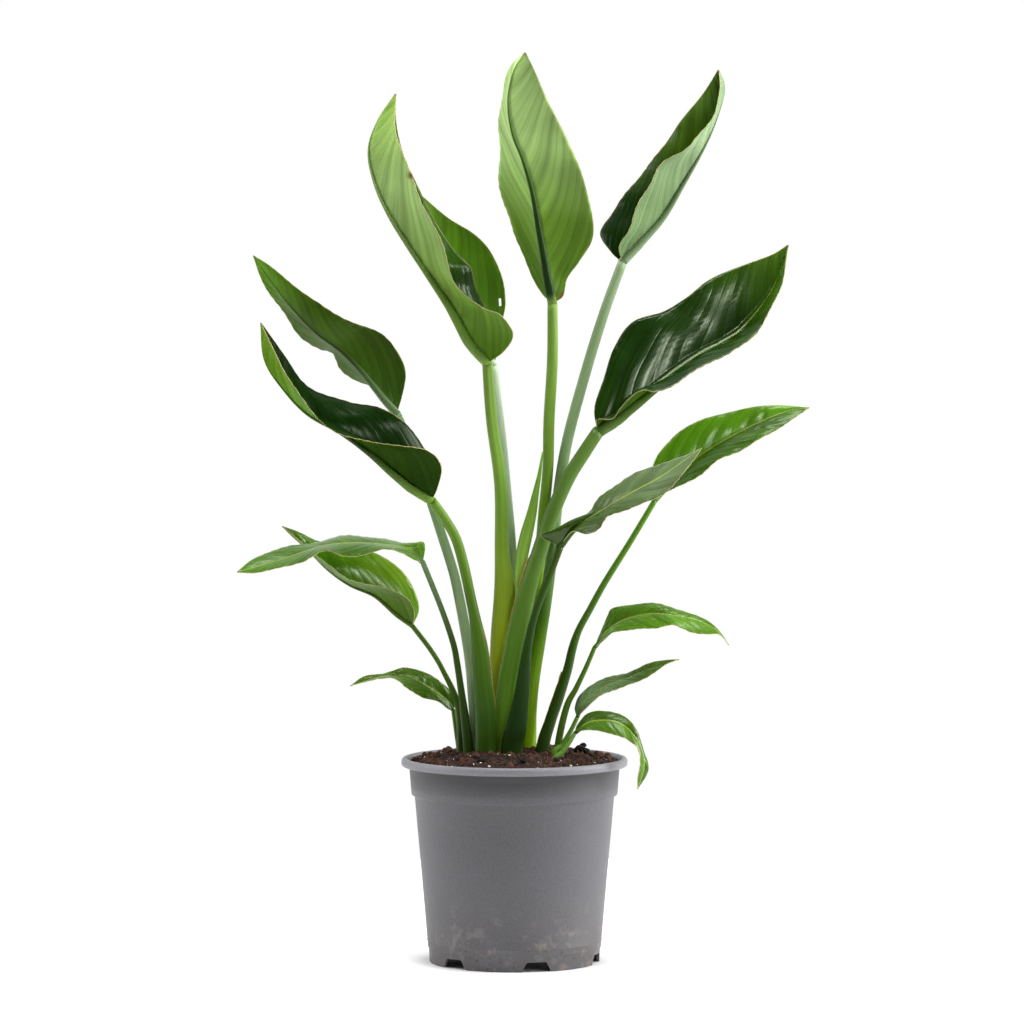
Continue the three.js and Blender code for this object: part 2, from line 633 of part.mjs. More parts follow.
function drainHole(x, y, radius) {
  const hole = new THREE.CylinderGeometry(radius, radius, 10, DRAIN.sides);
  hole.rotateX(Math.PI / 2);
  hole.translate(x, y, POT.floorUnder);
  return solidOf(hole);
}

function potSolid() {
  const profile = potProfile().map(([radius, z]) => new THREE.Vector2(radius, z));
  const turned = new THREE.LatheGeometry(profile, POT.sides);
  turned.rotateX(Math.PI / 2);
  let pot = solidOf(turned);
  for (let i = 0; i < FEET.count; i += 1) {
    const angle = THREE.MathUtils.degToRad(FEET.first + (i * 360) / FEET.count);
    pot = pot.subtract(footGap(angle));
  }
  for (let i = 0; i < DRAIN.count; i += 1) {
    const angle = (2 * Math.PI * i) / DRAIN.count;
    pot = pot.subtract(drainHole(DRAIN.ring * Math.cos(angle), DRAIN.ring * Math.sin(angle), DRAIN.radius));
  }
  return pot.subtract(drainHole(0, 0, DRAIN.middleRadius));
}

// Height of the soil: a mound with soft lumps
function soilHeight(x, y) {
  const share = Math.hypot(x, y) / POT.collarTopRadius;
  const lumps = Math.sin(x / 11 + 1.3) * Math.cos(y / 9 - 0.4) + 0.6 * Math.sin((x + 2 * y) / 17);
  return SOIL.edge + SOIL.mound * (1 - share ** 2) + SOIL.lump * lumps * (1 - share ** 4);
}

function soilSolid() {
  const rimFoot = POT.height - POT.rimDepth;
  const floorTop = POT.floorUnder + POT.floorThick;
  const rows = [...SOIL.rings, POT.collarTopRadius - POT.wall - ROOM].map((radius) => [radius, soilHeight]);
  rows.push([POT.collarTopRadius - POT.wall - ROOM - 0.2, () => rimFoot - 2]);
  rows.push([POT.collarFootRadius - POT.wall - ROOM, () => POT.collarFoot + 1 + ROOM]);
  rows.push([POT.bodyTopRadius - POT.wall - ROOM, () => POT.bodyTop]);
  rows.push([POT.footRadius - 1.1 - ROOM, () => floorTop + GAP]);
  const points = [];
  rows.forEach(([radius, height]) => {
    for (let k = 0; k < SOIL.sides; k += 1) {
      const turn = (2 * Math.PI * k) / SOIL.sides;
      const x = radius * Math.cos(turn);
      const y = radius * Math.sin(turn);
      points.push(new THREE.Vector3(x, y, height(x, y)));
    }
  });
  const top = points.length;
  points.push(new THREE.Vector3(0, 0, soilHeight(0, 0)), new THREE.Vector3(0, 0, floorTop + GAP));
  const last = (rows.length - 1) * SOIL.sides;
  const faces = [];
  for (let k = 0; k < SOIL.sides; k += 1) {
    const next = (k + 1) % SOIL.sides;
    faces.push([top, k, next], [top + 1, last + next, last + k]);
    for (let i = 0; i + 1 < rows.length; i += 1) {
      const a = i * SOIL.sides + k;
      const b = i * SOIL.sides + next;
      faces.push([a, a + SOIL.sides, b + SOIL.sides], [a, b + SOIL.sides, b]);
    }
  }
  return solidFrom(points, faces);
}

// The crown with its roots; grow makes room around them in the soil
function rootstockSolid(grow = 0) {
  const crown = CROWN_RINGS.map(([z, share], i) => {
    const lift = i === 0 ? -grow : i === CROWN_RINGS.length - 1 ? grow : 0;
    const centre = new THREE.Vector3(CROWN.x, CROWN.y, z + lift);
    return ovalRing(centre, UP, ACROSS, CROWN.wide * share + grow, CROWN.deep * share + grow, CROWN.sides);
  });
  let solid = loft(crown);
  for (let i = 0; i < ROOTS.count; i += 1) {
    const angle = ROOTS.first + (i * 360) / ROOTS.count;
    const line = curveThrough(ROOT_LINE.map(([reach, z], k) => {
      const turn = THREE.MathUtils.degToRad(angle + (ROOTS.sweep * k) / ROOT_LINE.length);
      return new THREE.Vector3(CROWN.x / 2 + reach * Math.cos(turn), CROWN.y / 2 + reach * Math.sin(turn), z);
    }));
    const rings = [];
    for (let k = 0; k <= ROOTS.steps; k += 1) {
      const share = k / ROOTS.steps;
      const radius = THREE.MathUtils.lerp(ROOTS.top, ROOTS.tip, share) + grow;
      const centre = line.getPointAt(share);
      const direction = line.getTangentAt(share);
      if (k === ROOTS.steps) centre.addScaledVector(direction, grow);
      const side = new THREE.Vector3(-centre.y, centre.x, 0);
      rings.push(ovalRing(centre, direction, side, radius, radius, ROOTS.sides));
    }
    solid = solid.add(loft(rings));
  }
  return solid;
}

const plant = new THREE.Group();
plant.name = 'potted_bird_of_paradise';

plant.add(meshOf('pot', potSolid(), 'pot'));

let soil = soilSolid().subtract(rootstockSolid(2 * GAP));
LEAVES.forEach((leaf) => {
  const direction = jointDirection(leaf);
  soil = soil.subtract(stemSolid(leaf.stalk, direction, ROOM));
  plant.add(meshOf(`${leaf.name}_stalk`, stemSolid(leaf.stalk, direction), 'stalk'));
  plant.add(meshOf(`${leaf.name}_blade`, bladeSolid(leaf, direction), 'blade'));
});
soil = soil.subtract(stemSolid(SPEAR, null, ROOM));
plant.add(meshOf('new_leaf', stemSolid(SPEAR, null), 'spear'));
plant.add(meshOf('soil', soil, 'soil'));
plant.add(meshOf('rootstock', rootstockSolid(), 'rootstock'));

// Set the middle of the whole plant on the origin
const middle = new THREE.Box3().setFromObject(plant).getCenter(new THREE.Vector3());
plant.children.forEach((mesh) => mesh.geometry.translate(-middle.x, -middle.y, 0));

export default plant;
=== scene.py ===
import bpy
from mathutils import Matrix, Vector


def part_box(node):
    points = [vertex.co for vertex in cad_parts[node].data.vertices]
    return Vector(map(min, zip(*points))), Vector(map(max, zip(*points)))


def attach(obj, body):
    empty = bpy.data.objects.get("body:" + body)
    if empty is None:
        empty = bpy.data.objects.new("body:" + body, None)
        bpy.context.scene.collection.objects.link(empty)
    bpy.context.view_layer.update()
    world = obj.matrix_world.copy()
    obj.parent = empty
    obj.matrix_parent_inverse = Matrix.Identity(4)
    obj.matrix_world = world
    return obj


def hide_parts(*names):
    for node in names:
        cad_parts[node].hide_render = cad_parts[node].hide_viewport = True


bl_info = {
    "name": "Potted bird of paradise",
    "version": (1, 0, 0),
    "blender": (4, 5, 0),
    "location": "View3D > Sidebar > Plant",
    "description": "Dresses the packed plant with blades, stalks, soil, a pot and a studio",
    "category": "Object",
}

import math

import bmesh
import bpy
import numpy as np
from mathutils import Matrix, Vector

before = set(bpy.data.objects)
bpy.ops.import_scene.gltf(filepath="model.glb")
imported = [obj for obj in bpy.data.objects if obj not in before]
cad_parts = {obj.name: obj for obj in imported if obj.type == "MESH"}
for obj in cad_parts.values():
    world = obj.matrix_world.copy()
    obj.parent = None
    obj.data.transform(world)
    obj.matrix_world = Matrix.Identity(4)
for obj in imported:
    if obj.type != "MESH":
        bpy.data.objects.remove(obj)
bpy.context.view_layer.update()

MM = 0.001

# The pot stands upright on its own axis, which is where the frame's pot node has its middle.
POT_LOW, POT_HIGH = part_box("pot")
AXIS_X = (POT_LOW[0] + POT_HIGH[0]) / 2
AXIS_Y = (POT_LOW[1] + POT_HIGH[1]) / 2

# Greens of the plant as sRGB hex. Most are not chosen by eye: they are the middles of groups that
# another program made of the photograph's average colours, as report.md says.
GREENS = {
    "black_green": "#0b2501",
    "deep": "#143402",
    "dark": "#1f3e03",
    "shade": "#294403",
    "bottle": "#234e0b",
    "moss": "#354f0b",
    "olive": "#345903",
    "leaf": "#3c6308",
    "fern": "#496913",
    "mid": "#4e7718",
    "dusty": "#55762d",
    "grass": "#508013",
    "fresh": "#5a8919",
    "bronze": "#6b9116",
    "meadow": "#6e9530",
    "spring": "#70a528",
    "soft": "#7fa345",
    "light": "#8cb347",
    "lime": "#96c20c",
    "yellow_olive": "#6a8003",
    "yellow_leaf": "#8a9a14",
    "grey_olive": "#63784e",
    "glaucous": "#789463",
    "sage": "#91aa7e",
    "pale": "#a5c777",
    "whitish": "#c6dcbc",
}

# Height at which every stalk's foot stands on the buried crown, in millimetres
FOOT = 150.3

# The camera of the main view, in millimetres from the pot's axis, and the photograph's side in
# pixels. The readings below are turned into millimetres with the same camera.
LENS, SENSOR = 180.0, 36.0
CAMERA = (-2.3, -4736.0, 665.0)
CAMERA_AIM = (-2.3, 0.0, 418.0)
PHOTO_SIDE = 1024

# Each leaf as read off the photograph: a point is its pixel across, its pixel down and its
# guessed depth behind the pot's axis in millimetres. A stalk's points go on with its half width and
# half depth in millimetres, from its foot up. The blade has its midrib and its left and right
# margins, seen on the upper face with the tip pointing up. pleat is the height and spacing of the
# side veins' folds and how far they lean towards the tip; holes and spots are places in
# millimetres, across and up, with their sizes. upper, under and stem name the greens from base to
# tip. They follow the same averages of the photograph as the greens do.
READINGS = [
    {
        "name": "leaf_01",
        "stalk": [
            (499, 795, 4, 10.5, 8), (499, 750, 4, 10.5, 8.5), (500, 700, 4, 11, 8.5),
            (503, 640, 4, 11.3, 8.5), (505, 600, 3, 10.5, 8), (504, 574, 2, 8.5, 7.5),
            (502, 548, 0, 6.4, 6.5), (500, 484, -6, 5.8, 6), (492, 420, -13, 5.3, 5.5),
            (487, 364, -20, 5, 5),
        ],
        "rib": [
            (487, 364, -20), (470, 340, -26), (450, 304, -36), (429, 273, -44), (409, 245, -50),
            (390, 214, -54), (375, 183, -56), (369, 150, -56), (378, 121, -52), (396, 93, -46),
        ],
        "left": [
            (505, 351, -34), (513, 334, -44), (500, 315, -56), (480, 308, -66), (455, 281, -76),
            (440, 240, -84), (421, 199, -86), (407, 163, -80), (396, 130, -66),
        ],
        "right": [
            (494, 342, -12), (487, 315, -9), (477, 290, -12), (471, 268, -24), (452, 250, -21),
            (436, 222, -31), (419, 190, -42), (404, 155, -48), (396, 122, -48),
        ],
        "bow": [0.08, 0.06], "wave": [1.5, 4, 0.2], "pleat": [0.35, 22, 2.6], "wax": 0.7,
        "upper": ["deep", "dark", "leaf", "fern"],
        "under": ["fresh", "soft", "pale", "light"],
        "stem": ["yellow_olive", "yellow_leaf", "meadow", "soft"],
        "groove": [-65, 0.16],
        "spots": [[-94, 728, 3]],
    },
    {
        "name": "leaf_02",
        "stalk": [
            (514, 795, 23, 6, 4.5), (514, 745, 23, 6, 4.5), (514, 660, 22, 5.5, 4.5),
            (513, 600, 20, 5, 4.5), (511, 545, 18, 4.7, 4.5), (506, 484, 15, 4.6, 4.5),
            (500, 430, 12, 4.5, 4.5), (493, 366, 10, 4.3, 4.3),
        ],
        "rib": [
            (493, 366, 10), (481, 335, 8), (466, 300, 6), (450, 265, 3), (435, 230, 0), (421, 195, -4),
        ],
        "left": [
            (500, 345, 12), (503, 322, 12), (506, 303, 12), (503, 280, 12), (491, 252, 10), (474, 234, 6),
            (448, 218, 2),
        ],
        "right": [
            (483, 345, 28), (466, 315, 38), (448, 280, 40), (432, 245, 34), (420, 212, 16),
        ],
        "bow": [0.06, 0.06], "wave": [1.5, 3, 0.4], "pleat": [0.3, 20, 2.2],
        "upper": ["deep", "dark"],
        "under": ["mid", "mid", "fresh", "meadow"],
        # The stalk's top is glaucous, and painted light makes it near white, paler than its skin, where it
        # lies in shade
        "stem": ["leaf", "glaucous", "sage", "whitish"],
        "groove": [90, 0.1],
        "holes": [[-13, 612, 1.6, 3.6]],
    },
    {
        "name": "leaf_03",
        "stalk": [
            (529, 795, 24, 6.5, 4.5), (529, 745, 24, 6.5, 4.5), (531, 690, 23.5, 6.3, 4.7),
            (536, 610, 21.5, 6, 5), (540, 560, 19, 5.5, 5), (544, 516, 16, 5.3, 5), (548, 468, 11, 5.1, 5),
            (549, 420, 5, 5.2, 5), (552, 360, -3, 5, 5), (552, 304, -10, 4.6, 4.6),
        ],
        "rib": [
            (552, 304, -10), (546, 264, -16), (540, 229, -22), (533, 193, -30), (523, 160, -37),
            (512, 132, -43), (508, 100, -49), (513, 72, -53), (526, 52, -54),
        ],
        "left": [
            (563, 296, -6), (568, 277, -4), (580, 261, -6), (593, 240, -10), (592, 212, -16),
            (583, 177, -24), (568, 140, -30), (549, 104, -38), (536, 74, -46),
        ],
        "right": [
            (541, 293, 0), (526, 264, 8), (512, 226, 12), (501, 200, 12), (499, 165, 4), (499, 130, -6),
            (501, 98, -24), (510, 67, -42),
        ],
        "bow": [0.05, 0.08], "wave": [1.5, 5, 0], "pleat": [0.35, 17, 1.9],
        "upper": ["bottle", "leaf"],
        "under": ["mid", "meadow", "pale", "pale"],
        "stem": ["yellow_olive", "lime", "meadow", "soft"],
        "painted_half_shading": [0.9, 1.2],
        "groove": [90, 0.14],
        "rib_tint": ["deep", "dark", "leaf", "mid"],
        "rib_blend": 0.04,
        "spots": [[45, 618, 4]],
    },
    {
        "name": "leaf_04",
        "stalk": [
            (528, 795, 6, 6.3, 5), (528, 748, 6, 6.3, 5), (532, 690, 6, 6.3, 5), (539, 640, 6, 6.2, 5),
            (546, 600, 6, 5.8, 5), (552, 550, 7, 5.5, 5), (558, 500, 9, 5.4, 5), (567, 440, 14, 5.2, 5),
            (588, 365, 18, 5, 5), (605, 310, 19, 4.8, 4.8), (622, 262, 20, 4.5, 4.5),
        ],
        "rib": [
            (622, 262, 20), (637, 243, 22), (661, 217, 26), (681, 185, 30), (701, 152, 32), (715, 123, 32),
            (725, 90, 28), (718, 69, 22),
        ],
        "left": [
            (609, 259, 26), (600, 233, 40), (614, 210, 46), (637, 179, 50), (657, 155, 50), (680, 122, 44),
            (704, 92, 34),
        ],
        "right": [
            (619, 252, 8), (628, 230, -6), (637, 208, -6), (648, 186, -2), (664, 163, 0), (692, 143, 2),
            (712, 118, 6), (720, 92, 14),
        ],
        "bow": [0.08, 0.06], "wave": [1.5, 5, 0.5], "pleat": [0.3, 17, 2.6], "wax": 0.4,
        "upper": ["black_green", "black_green", "moss", "dusty"],
        "under": ["glaucous", "glaucous", "sage", "sage"],
        "stem": ["lime", "leaf", "glaucous", "sage"],
        "groove": [160, 0.14],
    },
    {
        "name": "leaf_05",
        "stalk": [
            (504, 795, -11, 9, 5.5), (504, 745, -11, 9.3, 5.5), (507, 690, -11, 9.6, 5.5),
            (513, 655, -11, 9.8, 5.8), (520, 622, -11, 9.4, 6), (528, 590, -11, 8.4, 6.3),
            (536, 562, -10, 7.4, 6.5), (546, 532, -9, 7, 6.5), (557, 503, -8, 6.7, 6.5),
            (570, 476, -5, 6.4, 6.4), (585, 452, -2, 6.2, 6.2), (598, 432, 2, 6, 6),
        ],
        "rib": [
            (598, 432, 2), (631, 405, 8), (665, 379, 18), (699, 355, 30), (735, 334, 42), (760, 308, 48),
            (777, 280, 50), (789, 244, 46),
        ],
        "left": [
            (594, 408, 8), (604, 378, 14), (614, 348, 20), (632, 322, 26), (663, 312, 32), (686, 298, 38),
            (710, 279, 42), (745, 264, 46), (772, 255, 46),
        ],
        "right": [
            (597, 420, -10), (612, 419, -18), (622, 407, -22), (640, 391, -22), (656, 391, -20),
            (678, 384, -14), (706, 363, -4), (730, 354, 6), (750, 339, 18), (768, 315, 30), (782, 285, 40),
        ],
        "bow": [0.06, 0.08], "wave": [1.5, 5, 0], "pleat": [0.6, 25, 2.1], "wax": 1.2,
        "upper": ["dark", "deep", "dark", "mid"],
        "under": ["moss", "leaf", "fresh"],
        "stem": ["bronze", "mid", "dusty", "dusty"],
        "groove": [110, 0.16],
    },
    {
        "name": "leaf_06",
        "stalk": [
            (542, 795, -4, 6.2, 5), (542, 750, -4, 6.2, 5), (550, 722, -1, 5.4, 5), (558, 700, 2, 5.2, 5),
            (567, 671, 6, 4.3, 4.3), (573, 648, 9, 3.9, 3.9), (579, 629, 12, 3.3, 3.5),
            (590, 610, 16, 3.1, 3.2), (605, 583, 21, 3, 3), (630, 542, 28, 2.8, 2.8),
            (655, 500, 34, 2.6, 2.6),
        ],
        "rib": [
            (655, 500, 34), (672, 481, 38), (699, 457, 44), (727, 439, 50), (759, 423, 56), (786, 412, 59),
            (810, 407, 60),
        ],
        "left": [
            (651, 478, 38), (656, 458, 42), (668, 442, 48), (681, 430, 52), (704, 419, 56), (735, 411, 60),
            (772, 405, 62),
        ],
        "right": [
            (664, 494, 22), (682, 485, 18), (700, 474, 20), (722, 459, 26), (749, 446, 34), (772, 433, 42),
            (794, 418, 52),
        ],
        "bow": [0.08, 0.06], "wave": [1.2, 4, 0.3], "pleat": [0.45, 19, 1.9],
        "upper": ["grass", "grass", "grass"],
        "under": ["mid", "light"],
        "stem": ["shade", "shade", "leaf", "fresh"],
        "painted_half_shading": [1.55, 0.65],
        "groove": [120, 0.1],
    },
    {
        "name": "leaf_07",
        "stalk": [
            (512, 795, -23, 10.3, 5), (512, 748, -23, 10.3, 5), (517, 726, -23.5, 9.3, 5),
            (522, 692, -24.5, 6.8, 4.8), (525, 664, -25.5, 5.3, 4.4), (529, 640, -26.5, 3.8, 4),
            (536, 610, -28, 3.5, 3.6), (549, 575, -30, 3.6, 3.6), (560, 546, -32, 3.5, 3.5),
        ],
        "rib": [
            (560, 546, -32), (580, 524, -42), (605, 509, -54), (634, 492, -66), (665, 475, -74),
            (702, 447, -80),
        ],
        "left": [
            (541, 536, -36), (556, 528, -38), (574, 518, -38), (590, 512, -38), (602, 496, -40),
            (627, 478, -48), (660, 464, -58), (686, 456, -70),
        ],
        "right": [
            (572, 532, -46), (587, 534, -58), (600, 529, -68), (610, 515, -76), (635, 507, -84),
            (655, 498, -88), (672, 486, -90), (688, 468, -86),
        ],
        "bow": [0.04, 0.08], "wave": [1, 4, 0.6], "pleat": [0.3, 16, 2],
        "upper": ["moss", "moss", "grey_olive", "grey_olive"],
        "under": ["mid", "light"],
        "stem": ["shade", "deep", "dark", "moss"],
        "groove": [60, 0.12],
    },
    {
        "name": "leaf_08",
        "stalk": [
            (477, 795, 11, 5.5, 4.5), (477, 745, 11, 5.5, 4.5), (474, 700, 11, 5.2, 4.5),
            (470, 664, 11, 5, 4.5), (465, 629, 10, 4.9, 4.5), (460, 600, 9, 4.8, 4.5),
            (453, 571, 8, 4.6, 4.4), (440, 530, 6, 4.4, 4.3), (430, 500, 4, 4.3, 4.2),
            (415, 455, 2, 4.1, 4.1), (397, 414, 0, 4, 4),
        ],
        "rib": [
            (397, 414, 0), (378, 391, -6), (359, 368, -10), (340, 349, -14), (317, 333, -18),
            (294, 310, -20), (275, 287, -20), (253, 255, -18),
        ],
        "left": [
            (402, 396, 4), (406, 372, 8), (398, 352, 10), (383, 335, 10), (355, 323, 8), (320, 304, 2),
            (290, 282, -8), (268, 264, -14),
        ],
        "right": [
            (386, 406, 10), (372, 388, 18), (355, 381, 22), (341, 369, 22), (333, 354, 20), (318, 350, 14),
            (300, 335, 8), (280, 308, -2), (262, 280, -12),
        ],
        "bow": [0.08, 0.06], "wave": [1.2, 4, 0.1], "pleat": [0.3, 17, 2.2],
        "upper": ["dark", "leaf"],
        "under": ["olive", "moss", "moss", "fresh"],
        "stem": ["leaf", "sage", "glaucous", "glaucous"],
        "painted_half_shading": [0.9, 1.3],
        "groove": [60, 0.1],
    },
    {
        "name": "leaf_09",
        "stalk": [
            (486, 795, -20, 10, 7), (486, 748, -20, 10.2, 7), (486, 720, -20.5, 10.3, 7),
            (483, 685, -21.5, 9, 6.8), (480, 650, -23, 8, 6.5), (475, 622, -24.5, 5.6, 6),
            (471, 600, -25.5, 4.9, 5.5), (464, 565, -27.5, 4.8, 5), (456, 539, -29.5, 4.7, 4.8),
            (445, 519, -31.5, 4.6, 4.7), (432, 501, -34, 4.5, 4.5),
        ],
        "rib": [
            (432, 501, -34), (401, 477, -44), (370, 452, -54), (340, 431, -60), (309, 414, -64),
            (284, 390, -66), (265, 360, -64), (260, 322, -58),
        ],
        "left": [
            (438, 486, -44), (441, 466, -54), (428, 451, -64), (400, 445, -74), (366, 442, -84),
            (336, 431, -90), (310, 409, -92), (288, 376, -84), (272, 346, -70),
        ],
        "right": [
            (436, 480, -24), (426, 452, -26), (408, 426, -32), (380, 407, -36), (350, 402, -38),
            (320, 394, -42), (302, 379, -48), (284, 354, -54), (269, 334, -57),
        ],
        "bow": [0.06, 0.08], "wave": [1.2, 4, 0.5], "pleat": [0.3, 20, 2.4], "wax": 0.35,
        "upper": ["deep", "black_green", "black_green", "black_green"],
        "under": ["dark", "shade", "fresh", "bronze"],
        "stem": ["shade", "olive", "fern", "meadow"],
        "groove": [70, 0.14],
    },
    {
        "name": "leaf_10",
        "stalk": [
            (469, 795, -8, 5.6, 4.5), (469, 751, -8, 5.6, 4.5), (466, 725, -8, 4.5, 4),
            (462, 693, -7, 3.3, 3.4), (457.5, 664, -5, 3, 3), (452.5, 642, -3, 2.8, 2.8),
            (441, 608, 0, 2.6, 2.6), (423, 562, 4, 2.5, 2.5),
        ],
        "rib": [
            (423, 562, 4), (408, 549, -2), (385, 545, -8), (355, 543, -16), (325, 546, -24),
            (290, 557, -30), (260, 566, -33), (236, 572, -34),
        ],
        "left": [
            (414, 560, -8), (400, 552, -18), (385, 549, -26), (365, 555, -34), (345, 556, -40),
            (325, 552, -44), (305, 560, -48), (280, 568, -46), (255, 573, -40),
        ],
        "right": [
            (424, 543, 10), (405, 544, 12), (380, 538, 10), (350, 536, 4), (320, 541, -4), (285, 547, -14),
            (255, 558, -24),
        ],
        "bow": [0.06, 0.06], "wave": [0.8, 4, 0], "pleat": [0.25, 15, 2],
        "upper": ["spring", "grass", "mid", "grass"],
        "under": ["fresh", "light"],
        "stem": ["shade", "shade", "moss", "glaucous"],
        "groove": [60, 0.1],
    },
    {
        "name": "leaf_11",
        "stalk": [
            (461, 795, 4, 3.4, 3.4), (461, 750, 4, 3.4, 3.4), (457, 705, 12, 3, 3),
            (444, 672, 19, 2.4, 2.4), (431, 650, 22, 2.3, 2.3), (413, 626, 26, 2.3, 2.3),
        ],
        "rib": [
            (413, 626, 26), (395, 612, 24), (375, 596, 22), (350, 585, 18), (328, 570, 14), (308, 550, 10),
            (294, 538, 6), (282, 526, 4),
        ],
        "left": [
            (414, 612, 16), (408, 599, 8), (392, 591, 2), (370, 584, -4), (345, 577, -6), (324, 562, -4),
            (303, 543, -1),
        ],
        "right": [
            (419, 608, 30), (412, 585, 34), (398, 567, 36), (375, 553, 34), (345, 545, 30), (318, 541, 22),
            (298, 532, 12),
        ],
        "bow": [0.06, 0.08], "wave": [0.8, 3, 0.3], "pleat": [0.25, 14, 2],
        "upper": ["spring", "bronze", "grass", "fern"],
        "under": ["fern", "fern"],
        "stem": ["moss", "moss", "fern", "fern"],
        "groove": [60, 0.1],
    },
    {
        "name": "leaf_12",
        "stalk": [
            (460, 795, 18, 2.6, 2.6), (460, 757, 18, 2.6, 2.6), (457, 733, 22, 2.2, 2.2),
            (453, 711, 26, 2, 2),
        ],
        "rib": [
            (453, 711, 26), (447, 700, 23), (430, 688, 19), (410, 678, 15), (390, 676, 11), (370, 679, 7),
            (350, 686, 2),
        ],
        "left": [
            (448, 709, 20), (437, 701, 14), (422, 697, 8), (408, 689, 4), (395, 679, 2), (375, 680, 1),
            (360, 683, 1),
        ],
        "right": [
            (456, 702, 28), (452, 692, 28), (440, 682, 26), (425, 673, 22), (405, 668, 18), (385, 673, 14),
            (365, 676, 8),
        ],
        "bow": [0.06, 0.06], "wave": [0.5, 3, 0], "pleat": [0.2, 10.2, 1.5],
        "upper": ["leaf", "mid", "meadow", "meadow"],
        "under": ["mid", "light"],
        "stem": ["leaf", "mid"],
        "groove": [60, 0.08],
    },
    {
        "name": "leaf_13",
        "stalk": [
            (558, 795, -12, 3.4, 3.4), (558, 750, -12, 3.4, 3.4), (566, 708, -11, 3, 3),
            (576, 688, -11, 2.5, 2.5), (586, 668, -12, 2.2, 2.2), (595, 648, -13, 2, 2),
        ],
        "rib": [
            (595, 648, -13), (606, 632, -20), (625, 620, -28), (650, 614, -38), (675, 616, -46),
            (700, 622, -51), (718, 631, -53), (729, 646, -52),
        ],
        "left": [
            (600, 634, -12), (607, 616, -14), (613, 608, -18), (635, 604, -24), (660, 604, -32),
            (685, 612, -41), (707, 620, -48), (721, 632, -52),
        ],
        "right": [
            (604, 640, -26), (614, 632, -34), (635, 630, -44), (655, 628, -52), (672, 625, -58),
            (692, 632, -62), (708, 634, -61), (720, 635, -57),
        ],
        "bow": [0.06, 0.06], "wave": [0.6, 4, 0.4], "pleat": [0.25, 11.6, 1.6],
        "upper": ["mid", "fresh", "fresh", "leaf"],
        "under": ["mid", "mid", "light", "light"],
        "stem": ["fern", "fern", "mid"],
        "painted_half_shading": [0.9, 1.15],
        "groove": [120, 0.1],
    },
    {
        "name": "leaf_14",
        "stalk": [
            (550, 795, -26, 3.2, 3.2), (552, 757, -25, 3.2, 3.2), (562, 745, -19, 2.6, 2.6),
            (571, 731, -15, 2.1, 2.1), (577, 718, -12, 1.9, 1.9),
        ],
        "rib": [
            (577, 718, -12), (583, 704, -14), (593, 694, -17), (608, 685, -20), (628, 678, -24),
            (648, 670, -29), (664, 664, -32), (680, 659, -34),
        ],
        "left": [
            (575, 708, -8), (579, 696, -8), (590, 686, -10), (608, 677, -14), (630, 672, -19),
            (650, 663, -26), (665, 660, -31),
        ],
        "right": [
            (583, 712, -18), (592, 702, -23), (603, 694, -27), (620, 688, -31), (640, 681, -35),
            (655, 672, -36), (668, 664, -36),
        ],
        "bow": [0.06, 0.06], "wave": [0.5, 3, 0.2], "pleat": [0.2, 10.2, 1.6],
        "upper": ["glaucous", "glaucous", "dusty", "soft"],
        "under": ["mid", "light"],
        "stem": ["fern", "mid"],
        "groove": [120, 0.08],
    },
    {
        "name": "leaf_15",
        "stalk": [
            (550, 795, -42, 3.2, 3.2), (552, 764, -41, 3.2, 3.2), (562, 752, -35, 2.6, 2.6),
            (569, 743, -30, 2.2, 2.2), (575, 733, -24, 1.9, 1.9),
        ],
        "rib": [
            (575, 733, -24), (588, 723, -32), (605, 720, -40), (620, 723, -46), (632, 733, -50),
            (641, 748, -52), (644, 766, -52), (637, 790, -50),
        ],
        "left": [
            (577, 725, -20), (588, 713, -24), (605, 711, -32), (622, 715, -40), (635, 728, -46),
            (644, 750, -48), (648, 770, -48),
        ],
        "right": [
            (583, 731, -34), (597, 731, -44), (612, 735, -52), (627, 739, -57), (638, 748, -59),
            (640, 762, -57), (638, 778, -53),
        ],
        "bow": [0.06, 0.06], "wave": [0.5, 3, 0.6], "pleat": [0.2, 10.2, 1.4],
        "upper": ["mid", "mid", "fern", "mid"],
        "under": ["mid", "light"],
        "stem": ["fern", "mid"],
        "painted_half_shading": [0.7, 1.1],
        "groove": [120, 0.08],
    },
]

# The rolled new leaf, read in the same way as a stalk
SPEAR_READINGS = [
    (516, 795, 4, 3, 3), (516, 720, 4, 3, 3), (514, 640, 1, 3.2, 3), (515, 600, -2, 3.8, 3),
    (517.5, 575, -3, 5, 3.3), (522, 555, -4, 5.8, 3.6), (526.5, 535, -4, 5.8, 3.6),
    (531.5, 513, -4.5, 4.6, 3.4), (536, 491, -5, 2.9, 2.9), (539, 474, -5.5, 1.9, 1.9),
    (543, 452, -6.5, 0.6, 0.6),
]
SPEAR_TINTS = ["spring", "lime", "light", "spring"]

# Points given in millimetres afterwards, in place of their readings: leaf, part and row
MOVED = {
    ("leaf_04", "left", 0): (90, 25, 658),
    ("leaf_04", "right", 0): (97, 9, 663),
    ("leaf_14", "stalk", 0): (33, -24, FOOT),
    ("leaf_14", "stalk", 1): (35, -24, 193),
    ("leaf_15", "stalk", 0): (30, -36, FOOT),
    ("leaf_15", "stalk", 1): (35, -40, 188),
    ("new_leaf", "stalk", 2): (4, 0, 299),
    ("new_leaf", "stalk", 3): (4, -1.5, 336),
    ("new_leaf", "stalk", 4): (5, -3, 360),
}

# How wide a stalk's groove is, in degrees round the stalk
GROOVE_WIDTH = 26

